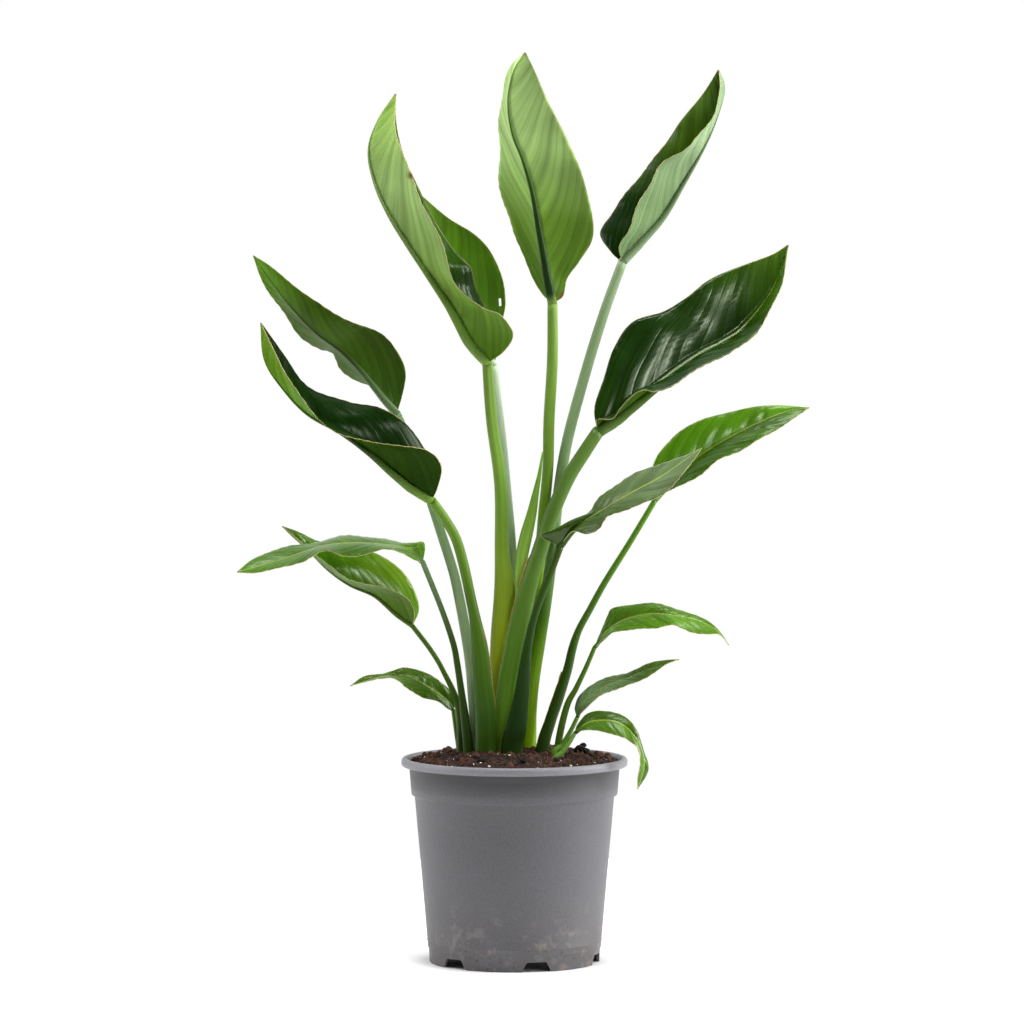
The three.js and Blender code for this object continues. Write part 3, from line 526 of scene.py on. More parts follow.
# Papery edges of the sheaths: which stalk, then rows of share of the stalk, angle round it
# from the right over the back, and how far the edge stands out
SHEATH_EDGES = [
    ["leaf_05", [
        [0.2, 196, 0.1], [0.34, 192, 0.2], [0.48, 188, 0.3], [0.6, 184, 1.5], [0.64, 178, 0.3],
    ]],
    ["leaf_09", [[0.3, -16, 0.2], [0.4, -16, 0.6], [0.5, -24, 0.6], [0.56, -34, 0.2]]],
    ["leaf_06", [[0.28, 188, 0.2], [0.35, 186, 0.5], [0.4, 184, 1.2]]],
]


def linear(hex_colour):
    """An sRGB hex colour as linear red, green, blue and alpha."""
    channels = [int(hex_colour[i:i + 2], 16) / 255 for i in (1, 3, 5)]
    return tuple(c / 12.92 if c <= 0.04045 else ((c + 0.055) / 1.055) ** 2.4 for c in channels) + (1.0,)


def catmull(points, share):
    """Points on a uniform Catmull-Rom curve at shares of its parameter."""
    rows = np.asarray(points, float)
    rows = np.vstack([2 * rows[0] - rows[1], rows, 2 * rows[-1] - rows[-2]])
    spans = len(rows) - 3
    t = np.clip(np.asarray(share, float), 0, 1) * spans
    i = np.minimum(t.astype(int), spans - 1)
    f = (t - i)[:, None]
    before, start, end, after = rows[i], rows[i + 1], rows[i + 2], rows[i + 3]
    leave, arrive = (end - before) / 2, (after - start) / 2
    return (
        (2 * f**3 - 3 * f**2 + 1) * start
        + (f**3 - 2 * f**2 + f) * leave
        + (3 * f**2 - 2 * f**3) * end
        + (f**3 - f**2) * arrive
    )


def by_length(points, share, others=None):
    """Points at shares of the curve's length; others are rows read at the same places."""
    fine = np.linspace(0, 1, 600)
    line = catmull(points, fine)
    run = np.concatenate([[0], np.cumsum(np.linalg.norm(np.diff(line, axis=0), axis=1))])
    place = np.interp(np.asarray(share, float) * run[-1], run, fine)
    read = catmull(points, place)
    if others is None:
        return read, run[-1]
    return read, run[-1], catmull(others, place)


def unit(rows):
    """Rows of vectors made one long."""
    return rows / np.maximum(np.linalg.norm(rows, axis=-1, keepdims=True), 1e-9)


def tangents(rows):
    """Directions along a row of points."""
    return unit(np.gradient(rows, axis=0))


def tint_along(names, share):
    """Linear colours at shares of a length, through evenly spaced named greens."""
    stops = np.array([linear(GREENS[name])[:3] for name in names])
    at = np.linspace(0, 1, len(stops))
    return np.stack([np.interp(share, at, stops[:, k]) for k in range(3)], axis=1)


def in_frame(points):
    """Millimetres from the pot's axis to metres in the frame."""
    rows = np.asarray(points, float).reshape(-1, 3) * MM
    return rows + np.array([AXIS_X, AXIS_Y, 0.0])

def from_photo(across, down, depth):
    """Whole millimetres from the pot's axis for a point read off the photograph."""
    eye = np.array(CAMERA)
    ahead = np.array(CAMERA_AIM) - eye
    ahead = ahead / np.linalg.norm(ahead)
    right = np.array([1.0, 0, 0])
    up = np.cross(right, ahead)
    pixels = LENS / SENSOR * PHOTO_SIDE
    middle = PHOTO_SIDE / 2
    ray = ahead + right * (across - middle) / pixels + up * (middle - down) / pixels
    distance = (depth - eye[1]) / ray[1]
    return np.round(eye + ray * distance)


def measured(name, part, readings):
    """A leaf part's rows in millimetres; what follows a reading's depth is kept."""
    rows = [
        [*MOVED.get((name, part, index), from_photo(*reading[:3])), *reading[3:]]
        for index, reading in enumerate(readings)
    ]
    if part == "stalk":
        rows[0][2] = FOOT
    return rows


LEAVES = [
    leaf | {part: measured(leaf["name"], part, leaf[part]) for part in ("stalk", "rib", "left", "right")}
    for leaf in READINGS
]
SPEAR = measured("new_leaf", "stalk", SPEAR_READINGS)


def linked(name, data):
    """A new object in the scene."""
    item = bpy.data.objects.new(name, data)
    bpy.context.scene.collection.objects.link(item)
    return item


def modified_mesh(item, name):
    """A new mesh with what an object's modifiers make of it."""
    bpy.context.view_layer.update()
    mesh = bpy.data.meshes.new_from_object(item.evaluated_get(bpy.context.evaluated_depsgraph_get()))
    mesh.name = name
    return mesh


def make_piece(name, points, faces, materials, face_slots=None, flat=(), marks=None, tint=None):
    """A smooth mesh object from points in metres, its place in its mesh, with marks on its points."""
    mesh = bpy.data.meshes.new(name)
    mesh.from_pydata(np.asarray(points).tolist(), [], faces)
    for material in materials:
        mesh.materials.append(material)
    smooth = np.ones(len(mesh.polygons), dtype=bool)
    if len(flat):
        smooth[list(flat)] = False
    mesh.polygons.foreach_set("use_smooth", smooth)
    if face_slots is not None:
        mesh.polygons.foreach_set("material_index", np.asarray(face_slots, dtype=np.int32))
    for mark, values in (marks or {}).items():
        layer = mesh.attributes.new(mark, "FLOAT", "POINT")
        layer.data.foreach_set("value", np.asarray(values, dtype=np.float32))
    if tint is not None:
        layer = mesh.attributes.new("tint", "FLOAT_COLOR", "POINT")
        colours = np.concatenate([tint, np.ones((len(tint), 1))], axis=1)
        layer.data.foreach_set("color", colours.astype(np.float32).ravel())
    mesh.update()
    return linked(name, mesh)


def oval_rings(centres, directions, side, wide, deep, sides, groove=None):
    """Rings of points round a line; a groove is its angle in degrees and its share of the radius."""
    side = np.broadcast_to(np.asarray(side, float), centres.shape)
    across = unit(side - directions * (side * directions).sum(1, keepdims=True))
    along = np.cross(directions, across)
    turn = np.linspace(0, 2 * math.pi, sides, endpoint=False)
    dent = np.ones(sides)
    if groove:
        away = (np.degrees(turn) - groove[0] + 180) % 360 - 180
        dent = 1 - groove[1] * np.exp(-((away / GROOVE_WIDTH) ** 2))
    ring = (
        across[:, None, :] * (wide[:, None] * np.cos(turn) * dent)[..., None]
        + along[:, None, :] * (deep[:, None] * np.sin(turn) * dent)[..., None]
    )
    return centres[:, None, :] + ring


def band_faces(rings, sides, first=0, turned=False):
    """Quads round a row of rings of points; turned ones face the other way."""
    faces = []
    for i in range(rings - 1):
        for j in range(sides):
            a = first + i * sides + j
            b = first + i * sides + (j + 1) % sides
            faces.append((a, a + sides, b + sides, b) if turned else (a, b, b + sides, a + sides))
    return faces


def tube_faces(rings, sides, first=0):
    """Quads round a row of rings and the two end faces, all pointing outwards."""
    faces = band_faces(rings, sides, first)
    faces.append(tuple(first + j for j in reversed(range(sides))))
    faces.append(tuple(first + (rings - 1) * sides + j for j in range(sides)))
    return faces


def ring_points(radii, heights, sides):
    """Rings of points round an upright axis, one for each radius and height."""
    turn = np.linspace(0, 2 * math.pi, sides, endpoint=False)
    radii = np.asarray(radii, float)[:, None]
    heights = np.repeat(np.asarray(heights, float)[:, None], sides, axis=1)
    return np.stack([radii * np.cos(turn), radii * np.sin(turn), heights], axis=-1)


def stem_line(path, steps, end_direction=None):
    """Centres, directions, half widths, half depths and length of a stalk."""
    rows = np.asarray(path, float)
    share = np.linspace(0, 1, steps)
    centres, length, sizes = by_length(rows[:, :3], share, rows[:, 3:])
    directions = tangents(centres)
    directions[0] = (0, 0, 1)
    if end_direction is not None:
        fade = np.clip((share - 0.94) / 0.06, 0, 1)[:, None]
        directions = unit(directions * (1 - fade) + end_direction * fade)
    return centres, directions, sizes[:, 0], sizes[:, 1], length, share


def joint_direction(leaf):
    """Direction in which a stalk hands over to its midrib."""
    stalk, _ = by_length(np.asarray(leaf["stalk"], float)[:, :3], [0.995, 1.0])
    rib, _ = by_length(leaf["rib"], [0.0, 0.005])
    return unit(unit(stalk[1] - stalk[0]) + unit(rib[1] - rib[0]))


def fold_count(leaf, share, out, width, length, half):
    """How many of the side veins' folds lie between the blade's base and places on one half of it."""
    _, pitch, slant = leaf["pleat"]
    lean = share * length - slant * width * out * (0.5 + 0.5 * out)
    return lean / pitch + 0.16 * np.sin(9 * share + 2 * half) + 0.03 * np.sin(31 * share + half)


def blade_surface(leaf, share, side):
    """Middle surface of a blade on a grid of shares along it and places from -1 to 1 across it."""
    base, tip = leaf["rib"][0], leaf["rib"][-1]
    rib, length = by_length(leaf["rib"], share)
    along = tangents(rib)
    grid = np.zeros((len(share), len(side), 3))
    reach = np.zeros((len(share), len(side)))
    folds = np.zeros((len(share), len(side)))
    height, count, start = leaf["wave"]
    for half, rows in enumerate((leaf["left"], leaf["right"])):
        margin, _ = by_length([base, *rows, tip], share)
        chord = margin - rib
        width = np.linalg.norm(chord, axis=1)
        up = unit(np.cross(chord, along)) * (1 if half else -1)
        fade = np.sin(math.pi * share)
        ripple = height * np.sin(2 * math.pi * (count * share + start + 0.3 * half)) * fade
        crinkle = 0.3 * np.sin(2 * math.pi * share * length / 9 + 2.2 * np.sin(14 * share + half))
        for j, place in enumerate(side):
            if (place < 0) == (half == 0):
                out = abs(place)
                lift = leaf["bow"][half] * width * 4 * out * (1 - out) + ripple * out**2
                lift = lift + crinkle * fade * out**10
                turns = fold_count(leaf, share, out, width, length, half)
                fold = leaf["pleat"][0] * np.sin(2 * math.pi * turns) * (0.6 + 0.4 * np.sin(2.3 * turns))
                lift = lift + fold * np.minimum(1, width / 12) * np.sin(math.pi * out**0.8)
                grid[:, j] = rib + chord * out + up * lift[:, None]
                reach[:, j] = out * width
                folds[:, j] = turns
    return grid, reach, folds, length


def grid_normals(grid):
    """Unit normals of a grid, towards the upper face."""
    across = np.gradient(grid, axis=1)
    along = np.gradient(grid, axis=0)
    return unit(np.cross(across, along))


# Steps along a blade and across each half of it, and the midrib's steps and sides
BLADE_STEPS, BLADE_HALF_STEPS = 150, 14
RIB_STEPS, RIB_SIDES = 48, 12


def blade_piece(leaf, sizes, materials):
    """One closed blade with its two skins, its thin edge and its midrib."""
    share = 0.004 + 0.992 * (0.5 - 0.5 * np.cos(math.pi * np.linspace(0.02, 0.985, BLADE_STEPS + 1))) ** 0.92
    side = np.linspace(-1, 1, 2 * BLADE_HALF_STEPS + 1)
    side = np.sign(side) * np.abs(side) ** 0.85
    grid, reach, folds, length = blade_surface(leaf, share, side)
    normal = grid_normals(grid)
    rows, columns = reach.shape
    half_width = np.where(side < 0, reach[:, :1], reach[:, -1:])
    slim = max(1.0, 22 / float(half_width.max()))
    thick = sizes.blade_thickness / MM / 2 * (1 - 0.45 * np.abs(side) ** 3)[None, :, None]
    upper = grid + normal * thick
    lower = grid - normal * thick
    count = rows * columns
    middle = (grid[1:, 1:] + grid[:-1, :-1]) / 2
    torn = np.zeros((rows - 1, columns - 1), dtype=bool)
    for x, z, across, high in leaf.get("holes", []):
        gap = ((middle[..., 0] - x) / across) ** 2 + ((middle[..., 2] - z) / high) ** 2
        torn |= gap < 1
    faces, slots, sides = [], [], []
    for i, j in zip(*np.nonzero(~torn)):
        a = int(i) * columns + int(j)
        corners = (a, a + 1, a + 1 + columns, a + columns)
        faces.append(corners)
        faces.append(tuple(corner + count for corner in reversed(corners)))
        slots += [0, 1]
        sides += [(corners[k], corners[(k + 1) % 4]) for k in range(4)]
    known = set(sides)
    first_edge = len(faces)
    for a, b in sides:
        if (b, a) not in known:
            faces.append((b, a, a + count, b + count))
            slots.append(1)
    flat = range(first_edge, len(faces))

    edge_gap = (1 - np.abs(side)) * half_width
    calm = np.clip(edge_gap / 2.5, 0, 1) * np.clip(half_width / 14, 0, 1)
    dry = np.zeros((rows, columns))
    for x, z, size in leaf.get("spots", []):
        away = np.hypot(grid[..., 0] - x, grid[..., 2] - z)
        dry = np.maximum(dry, np.clip(1.5 - away / size, 0, 1))
    marks = {
        "fold": np.tile(folds.ravel(), 2),
        "rib_mm": np.tile(reach.ravel(), 2) * slim,
        "edge_mm": np.tile(edge_gap.ravel(), 2),
        "calm": np.tile(calm.ravel(), 2),
        "dry": np.tile(dry.ravel(), 2),
        "share": np.tile(np.repeat(share, columns), 2),
        "wax": np.full(2 * count, leaf.get("wax", 1.0)),
    }
    # Painted light and shade: each half of a blade has its greens scaled by its own factor, painting one
    # half lit and the other in shade
    painted_half_shading = np.interp(side, (-0.08, 0.08), leaf.get("painted_half_shading", (1, 1)))
    tint = np.concatenate([
        (tint_along(leaf[face], share)[:, None, :] * painted_half_shading[:, None]).reshape(-1, 3)
        for face in ("upper", "under")
    ])

    # The midrib runs on from the stalk and sinks under the blade as it tapers
    rib_share = np.linspace(0, 0.96, RIB_STEPS)
    centre, _ = by_length(leaf["rib"], rib_share)
    direction = tangents(centre)
    hand_over = joint_direction(leaf)
    fade = np.clip(1 - rib_share / 0.05, 0, 1)[:, None]
    direction = unit(direction * (1 - fade) + hand_over * fade)
    near = np.clip(rib_share, 0.03, 0.95)
    beside = blade_surface(leaf, near, np.array([-0.3, 0.3]))[0]
    across = unit(beside[:, 1] - beside[:, 0])
    up = unit(np.cross(across, direction))
    wide_end, deep_end = leaf["stalk"][-1][3:]
    thin = (1 - rib_share) ** 1.3
    sink = np.clip(rib_share / 0.1, 0, 1) * 0.72 * deep_end * thin
    centre = centre - up * sink[:, None]
    rings = oval_rings(
        centre, direction, across,
        np.maximum(0.35, wide_end * thin), np.maximum(0.35, deep_end * thin), RIB_SIDES,
    )
    first = 2 * count
    rib_faces = tube_faces(RIB_STEPS, RIB_SIDES, first)
    faces += rib_faces
    slots += [2] * len(rib_faces)
    ring_count = RIB_STEPS * RIB_SIDES
    marks = {
        key: np.concatenate([values, np.full(ring_count, 9.0 if key == "edge_mm" else 0.0)])
        for key, values in marks.items()
    }
    marks["share"][-ring_count:] = np.repeat(rib_share, RIB_SIDES)
    stem_end = np.asarray(linear(GREENS[leaf["stem"][-1]])[:3])
    under = tint_along(leaf.get("rib_tint", leaf["under"]), rib_share)
    blend = np.clip(rib_share / leaf.get("rib_blend", 0.35), 0, 1)[:, None]
    rib_tint = stem_end * (1 - blend) + under * blend * (1 if "rib_tint" in leaf else 0.8)
    tint = np.concatenate([tint, np.repeat(rib_tint, RIB_SIDES, axis=0)])
    points = np.concatenate([upper.reshape(-1, 3), lower.reshape(-1, 3), rings.reshape(-1, 3)])
    name = f"{leaf['name']}_blade_skin"
    return make_piece(name, in_frame(points), faces, materials, slots, flat, marks, tint)


def stem_piece(name, path, stops, material, end_direction=None, groove=None, steps=72, sides=28):
    """A stalk or the new leaf as a smooth closed stem."""
    centres, directions, wide, deep, length, share = stem_line(path, steps, end_direction)
    rings = oval_rings(centres, directions, (1, 0, 0), wide, deep, sides, groove)
    faces = tube_faces(steps, sides)
    marks = {
        "run_mm": np.repeat(share * length, sides),
        "round_mm": np.tile(np.arange(sides) / sides, steps) * 2 * math.pi * 7,
        "share": np.repeat(share, sides),
    }
    # Painted light and shade: a stalk's face is painted lighter than its flanks, as light falls on its front
    turn = 2 * math.pi * np.arange(sides) / sides
    face = 0.8 + 0.32 * np.clip(np.cos(turn + math.radians(70)), 0, 1)
    tint = (tint_along(stops, share)[:, None, :] * face[:, None]).reshape(-1, 3)
    flat = (len(faces) - 2, len(faces) - 1)
    return make_piece(name, in_frame(rings), faces, [material], None, flat, marks, tint)


def feed(tree, node, links):
    """Sets a node's inputs to values, or links them to the sockets that the values come from."""
    for key, value in links.items():
        socket = node.inputs[key]
        if isinstance(value, bpy.types.NodeSocket):
            tree.links.new(value, socket)
        else:
            socket.default_value = value


def add(tree, kind, links=None, **settings):
    """Adds a node: settings are its own, links are its inputs' values or the sockets they come from."""
    made = tree.nodes.new(kind)
    for key, value in settings.items():
        setattr(made, key, value)
    feed(tree, made, links or {})
    return made


def mark(tree, name, output="Fac"):
    """What a mesh's points carry under a name."""
    return add(tree, "ShaderNodeAttribute", attribute_name=name).outputs[output]


def maths(tree, operation, *values):
    """The result of one operation on one or two values."""
    return add(tree, "ShaderNodeMath", dict(enumerate(values)), operation=operation).outputs[0]


def times(tree, first, second):
    """The product of two values."""
    return maths(tree, "MULTIPLY", first, second)


def spread(tree, value, low, high, start=0.0, end=1.0, **settings):
    """A value that goes from start to end while the given one goes from low to high."""
    return add(tree, "ShaderNodeMapRange", {
        "Value": value, "From Min": low, "From Max": high, "To Min": start, "To Max": end,
    }, **settings).outputs[0]


def noise(tree, place, scale, detail=2.0, roughness=0.5, **settings):
    """Noise round a half."""
    return add(tree, "ShaderNodeTexNoise", {
        "Vector": place, "Scale": scale, "Detail": detail, "Roughness": roughness,
    }, **settings).outputs["Fac"]


def about_one(tree, pattern, depth):
    """A noise's pattern turned into a factor as far below one as above it."""
    return spread(tree, pattern, 0.3, 0.7, 1 - depth, 1 + depth)


def scaled(tree, colour, level):
    """A colour made lighter or darker."""
    return add(tree, "ShaderNodeVectorMath", {0: colour, "Scale": level}, operation="SCALE").outputs[0]


def mixed(tree, amount, below, above):
    """One colour laid over another."""
    return add(tree, "ShaderNodeMix", {"Factor": amount, 6: below, 7: above}, data_type="RGBA").outputs[2]


def bumped(tree, height, strength, depth_mm, **settings):
    """A surface normal with fine relief."""
    return add(tree, "ShaderNodeBump", {
        "Height": height, "Strength": strength, "Distance": depth_mm * MM,
    }, **settings).outputs[0]


def object_place(tree):
    """A point's place in its object's own space."""
    return add(tree, "ShaderNodeTexCoord").outputs["Object"]


def start_material(name):
    """A new node material with its surface shader; returns the material, its tree and the shader."""
    material = bpy.data.materials.new(name)
    material.use_nodes = True
    tree = material.node_tree
    tree.nodes.clear()
    shader = add(tree, "ShaderNodeBsdfPrincipled")
    add(tree, "ShaderNodeOutputMaterial", {"Surface": shader.outputs["BSDF"]})
    return material, tree, shader


def leaf_skin(name, face, gloss, shine, sheen_tint, rib, edge, contrast):
    """Leaf skin with folded side veins, a midrib line and a dry pale edge.

    The skin is a wax-coated plant cuticle: smooth and glossy on the upper face, duller below.
    face is -1 for the upper skin and 1 for the lower one, whose troughs are the upper one's ridges.
    rib is the midrib line's colour and its width in mm at the base and at the tip.
    """
    material, tree, shader = start_material(name)
    fold, from_rib, share = mark(tree, "fold"), mark(tree, "rib_mm"), mark(tree, "share")
    place = object_place(tree)

    # Folds about a centimetre apart, each with a narrow trough along its vein
    wave = times(tree, maths(tree, "SINE", times(tree, fold, 2 * math.pi)), float(face))
    trough = maths(tree, "POWER", maths(tree, "MAXIMUM", wave, 0.0), 9.0)
    trough = times(tree, trough, mark(tree, "calm"))

    # Fine veins: the real ones lie closer than a millimetre, which is too fine to show, so they
    # are drawn about 3 mm apart
    along = add(tree, "ShaderNodeCombineXYZ", {"X": fold, "Y": times(tree, from_rib, 0.004)}).outputs[0]
    veins = noise(tree, along, 5.0, 1.0, noise_dimensions="2D")
    bands = noise(tree, along, 0.7, 1.0, noise_dimensions="2D")
    mottle = noise(tree, place, 22.0, 3.0)

    # Painted shade: each fold is painted lighter on its ridge and darker down into its trough, and darker
    # still along the trough's narrow line
    level = spread(tree, wave, -1.0, 1.0, 1 + contrast * 0.35, 1 - contrast * 0.35)
    level = times(tree, level, spread(tree, trough, 0.0, 1.0, 1.0, 1 - contrast * 0.6))
    for pattern, depth in ((veins, 0.6), (bands, 1.6), (mottle, 0.8)):
        level = times(tree, level, about_one(tree, pattern, contrast * depth))
    colour = scaled(tree, mark(tree, "tint", "Color"), level)

    rib_colour, rib_start, rib_end = rib
    rib_width = spread(tree, share, 0.0, 0.95, rib_start, rib_end)
    rib_line = spread(
        tree, from_rib, times(tree, rib_width, 0.3), rib_width, 0.7, 0.0, interpolation_type="SMOOTHSTEP")
    edge_width = spread(tree, noise(tree, place, 120.0), 0.35, 0.7, 0.35, 1.1)
    edge_line = spread(tree, mark(tree, "edge_mm"), 0.0, edge_width, 0.9, 0.0)
    tip_dry = spread(tree, share, 0.978, 0.995, 0.0, 0.8)
    for amount, over in (
        (rib_line, rib_colour), (edge_line, edge), (tip_dry, "#7d6230"), (mark(tree, "dry"), "#6d4c26"),
    ):
        colour = mixed(tree, amount, colour, linear(over))
    # The waxy layer lets green through, so its sheen is a little green
    feed(tree, shader, {
        "Base Color": colour,
        "Roughness": spread(tree, veins, 0.3, 0.7, gloss - 0.05, gloss + 0.07),
        "Normal": bumped(tree, trough, 1.0, 0.07, invert=True),
        "IOR": 1.45,
        "Specular IOR Level": times(tree, mark(tree, "wax"), shine),
        "Specular Tint": linear(sheen_tint),
    })
    return material


def stalk_skin(name, gloss, streak):
    """Smooth fleshy plant skin with fine streaks along its length."""
    material, tree, shader = start_material(name)
    run = times(tree, mark(tree, "run_mm"), 0.02)
    stretched = add(tree, "ShaderNodeCombineXYZ", {"X": mark(tree, "round_mm"), "Y": run}).outputs[0]
    lines = noise(tree, stretched, 0.5, 1.0, noise_dimensions="2D")
    clouds = noise(tree, object_place(tree), 16.0)
    level = times(tree, about_one(tree, lines, streak), about_one(tree, clouds, streak * 0.9))
    feed(tree, shader, {
        "Base Color": scaled(tree, mark(tree, "tint", "Color"), level),
        "Roughness": gloss, "IOR": 1.42, "Specular IOR Level": 0.3,
    })
    return material


def two_tone(name, dark, light, scale, rough, relief):
    """A rough natural surface whose colour wanders between two tones at one grain size."""
    material, tree, shader = start_material(name)
    grain = noise(tree, object_place(tree), scale, 5.0, 0.65)
    feed(tree, shader, {
        "Base Color": mixed(tree, spread(tree, grain, 0.35, 0.65), linear(dark), linear(light)),
        "Normal": bumped(tree, grain, 1.0, relief), "Roughness": rough, "IOR": 1.45,
    })
    return material


# Stains on the pot: grain scale, heights in metres between which they thin out, the noise's span,
# strength and colour
STAINS = (
    (22.0, 0.02, 0.08, 0.3, 0.6, 0.4, "#4f4944"),
    (70.0, 0.03, 0.07, 0.56, 0.68, 0.18, "#a19c98"),
    (95.0, 0.022, 0.05, 0.58, 0.68, 0.4, "#8b7a6f"),
    (230.0, 0.017, 0.034, 0.6, 0.68, 0.8, "#4f3526"),
)


def moulded_polypropylene(colours):
    """Grey injection-moulded polypropylene: an even, faintly pebbled surface with a soft sheen.

    Pale scuffs and brown splashes of soil gather near the foot.
    """
    material, tree, shader = start_material("moulded_polypropylene")
    place = object_place(tree)
    grain = noise(tree, place, 620.0, 3.0)
    level = spread(tree, noise(tree, place, 9.0), 0.3, 0.7, 0.95, 1.04)
    level = times(tree, level, spread(tree, grain, 0.3, 0.7, 0.88, 1.12))
    height = add(tree, "ShaderNodeSeparateXYZ", {"Vector": place}).outputs["Z"]
    # Painted shade darkens the collar under the rim, where the rim's shadow falls, and the rolled lip is
    # painted paler as a highlight where it faces the light
    under_rim_shade = spread(tree, height, 0.160, 0.180, 1.0, 0.4)
    lip = spread(tree, height, 0.1819, 0.1832)
    tone = add(tree, "ShaderNodeMix", {"Factor": lip, 2: under_rim_shade, 3: 2.1}, data_type="FLOAT").outputs[0]
    colour = scaled(tree, tuple(colours.pot_colour), times(tree, level, tone))
    for scale, low_end, high_end, start, end, strength, stain in STAINS:
        low = spread(tree, height, low_end, high_end, 1.0, 0.0)
        spots = spread(tree, noise(tree, place, scale, 4.0, 0.6), start, end, 0.0, strength)
        colour = mixed(tree, times(tree, spots, low), colour, linear(stain))
    feed(tree, shader, {
        "Base Color": colour, "Normal": bumped(tree, grain, 0.5, 0.08),
        "Roughness": 0.5, "IOR": 1.49, "Specular IOR Level": 0.35,
    })
    return material


# The soil in millimetres: its mound's radius and height and the height of its lumps, the sides of
# its rings, and the radius and height of the rings down its hidden side and bottom
MOUND_RADIUS, MOUND_HEIGHT, LUMP_HEIGHT = 98, 9, 1.6
SOIL_SIDES = 180
SOIL_WALL = ((95.9, 180.0), (93.6, 157.4), (90.8, 154.9), (77.4, 11.5), (40.0, 11.5))


def soil_height(x, y, sizes):
    """Height of the soil in millimetres: a low mound with soft lumps."""
    share = np.hypot(x, y) / MOUND_RADIUS
    lumps = np.sin(x / 11 + 1.3) * np.cos(y / 9 - 0.4) + 0.6 * np.sin((x + 2 * y) / 17)
    edge = sizes.soil_edge / MM
    return edge + MOUND_HEIGHT * (1 - share**2) + LUMP_HEIGHT * lumps * (1 - share**4)


def scatter_tree(name, shape, material):
    """Geometry Nodes that strew one small shape over a surface, turned and sized at random."""
    tree = bpy.data.node_groups.new(name, "GeometryNodeTree")
    face = tree.interface
    for given_name, kind in (
        ("Geometry", "Geometry"), ("Pieces per Square Metre", "Float"), ("Smallest", "Float"),
        ("Largest", "Float"), ("Seed", "Int"),
    ):
        face.new_socket(given_name, in_out="INPUT", socket_type=f"NodeSocket{kind}")
    face.new_socket("Geometry", in_out="OUTPUT", socket_type="NodeSocketGeometry")
    given = add(tree, "NodeGroupInput").outputs
    points = add(tree, "GeometryNodeDistributePointsOnFaces", {
        "Mesh": given["Geometry"], "Density": given["Pieces per Square Metre"], "Seed": given["Seed"]})
    source = add(tree, "GeometryNodeObjectInfo", {"Object": shape})
    turn = add(tree, "FunctionNodeRandomValue", {
        0: (0.0, 0.0, 0.0), 1: (6.283, 6.283, 6.283), "Seed": given["Seed"]}, data_type="FLOAT_VECTOR")
    size = add(tree, "FunctionNodeRandomValue", {
        2: given["Smallest"], 3: given["Largest"], "Seed": given["Seed"]}, data_type="FLOAT")
    strewn = add(tree, "GeometryNodeInstanceOnPoints", {
        "Points": points.outputs["Points"], "Instance": source.outputs["Geometry"],
        "Rotation": turn.outputs[0], "Scale": size.outputs[1]})
    real = add(tree, "GeometryNodeRealizeInstances", {"Geometry": strewn.outputs[0]})
    dressed = add(tree, "GeometryNodeSetMaterial", {"Geometry": real.outputs[0], "Material": material})
    add(tree, "NodeGroupOutput", {"Geometry": dressed.outputs[0]})
    return tree


def strew(name, ground, shape, material, density, smallest, largest, seed):
    """A plain mesh of small pieces strewn over the ground mesh."""
    tree = scatter_tree(f"{name}_nodes", shape, material)
    holder = linked(f"{name}_holder", ground.data.copy())
    modifier = holder.modifiers.new(name, "NODES")
    modifier.node_group = tree
    values = {
        "Pieces per Square Metre": density, "Smallest": smallest, "Largest": largest, "Seed": seed}
    for item in tree.interface.items_tree:
        if item.in_out == "INPUT" and item.name in values:
            modifier[item.identifier] = values[item.name]
    mesh = modified_mesh(holder, name)
    holder.modifiers.remove(modifier)
    bpy.data.objects.remove(holder)
    return linked(name, mesh)


def lump_shape(name, detail, uneven, stretch, seed):
    """A small irregular closed lump, one unit across."""
    work = bmesh.new()
    bmesh.ops.create_icosphere(work, subdivisions=detail, radius=0.5)
    chance = np.random.default_rng(seed)
    for vertex in work.verts:
        vertex.co *= 1 + uneven * (chance.random() - 0.5)
        vertex.co = Vector(a * b for a, b in zip(vertex.co, stretch))
    mesh = bpy.data.meshes.new(name)
    work.to_mesh(mesh)
    work.free()
    return linked(name, mesh)


class PlantSizes(bpy.types.PropertyGroup):
    """Sizes and densities that the sidebar shows"""

    blade_thickness: bpy.props.FloatProperty(
        name="Blade thickness", description="Thickness of a leaf blade at its midrib",
        default=0.9 * MM, min=0.3 * MM, max=2 * MM, unit="LENGTH", precision=4)
    soil_edge: bpy.props.FloatProperty(
        name="Soil edge height", description="Height of the soil where it meets the pot",
        default=187 * MM, unit="LENGTH")
    crumb_density: bpy.props.FloatProperty(
        name="Soil crumbs", description="Soil crumbs on each square metre", default=95000.0)
    clod_density: bpy.props.FloatProperty(
        name="Soil clods", description="Large soil clods on each square metre", default=9000.0)
    pearl_density: bpy.props.FloatProperty(
        name="Perlite", description="White perlite grains on each square metre", default=3000.0)
    fibre_density: bpy.props.FloatProperty(
        name="Fibres", description="Peat fibres on each square metre", default=5200.0)


class PlantColours(bpy.types.PropertyGroup):
    """Colours that the sidebar shows"""

    pot_colour: bpy.props.FloatVectorProperty(
        name="Pot", description="Colour of the pot's plastic", subtype="COLOR",
        default=linear("#59585c")[:3], min=0, max=1)
    floor_colour: bpy.props.FloatVectorProperty(
        name="Floor", description="Colour of the studio floor", subtype="COLOR",
        default=linear("#e9e9e9")[:3], min=0, max=1)


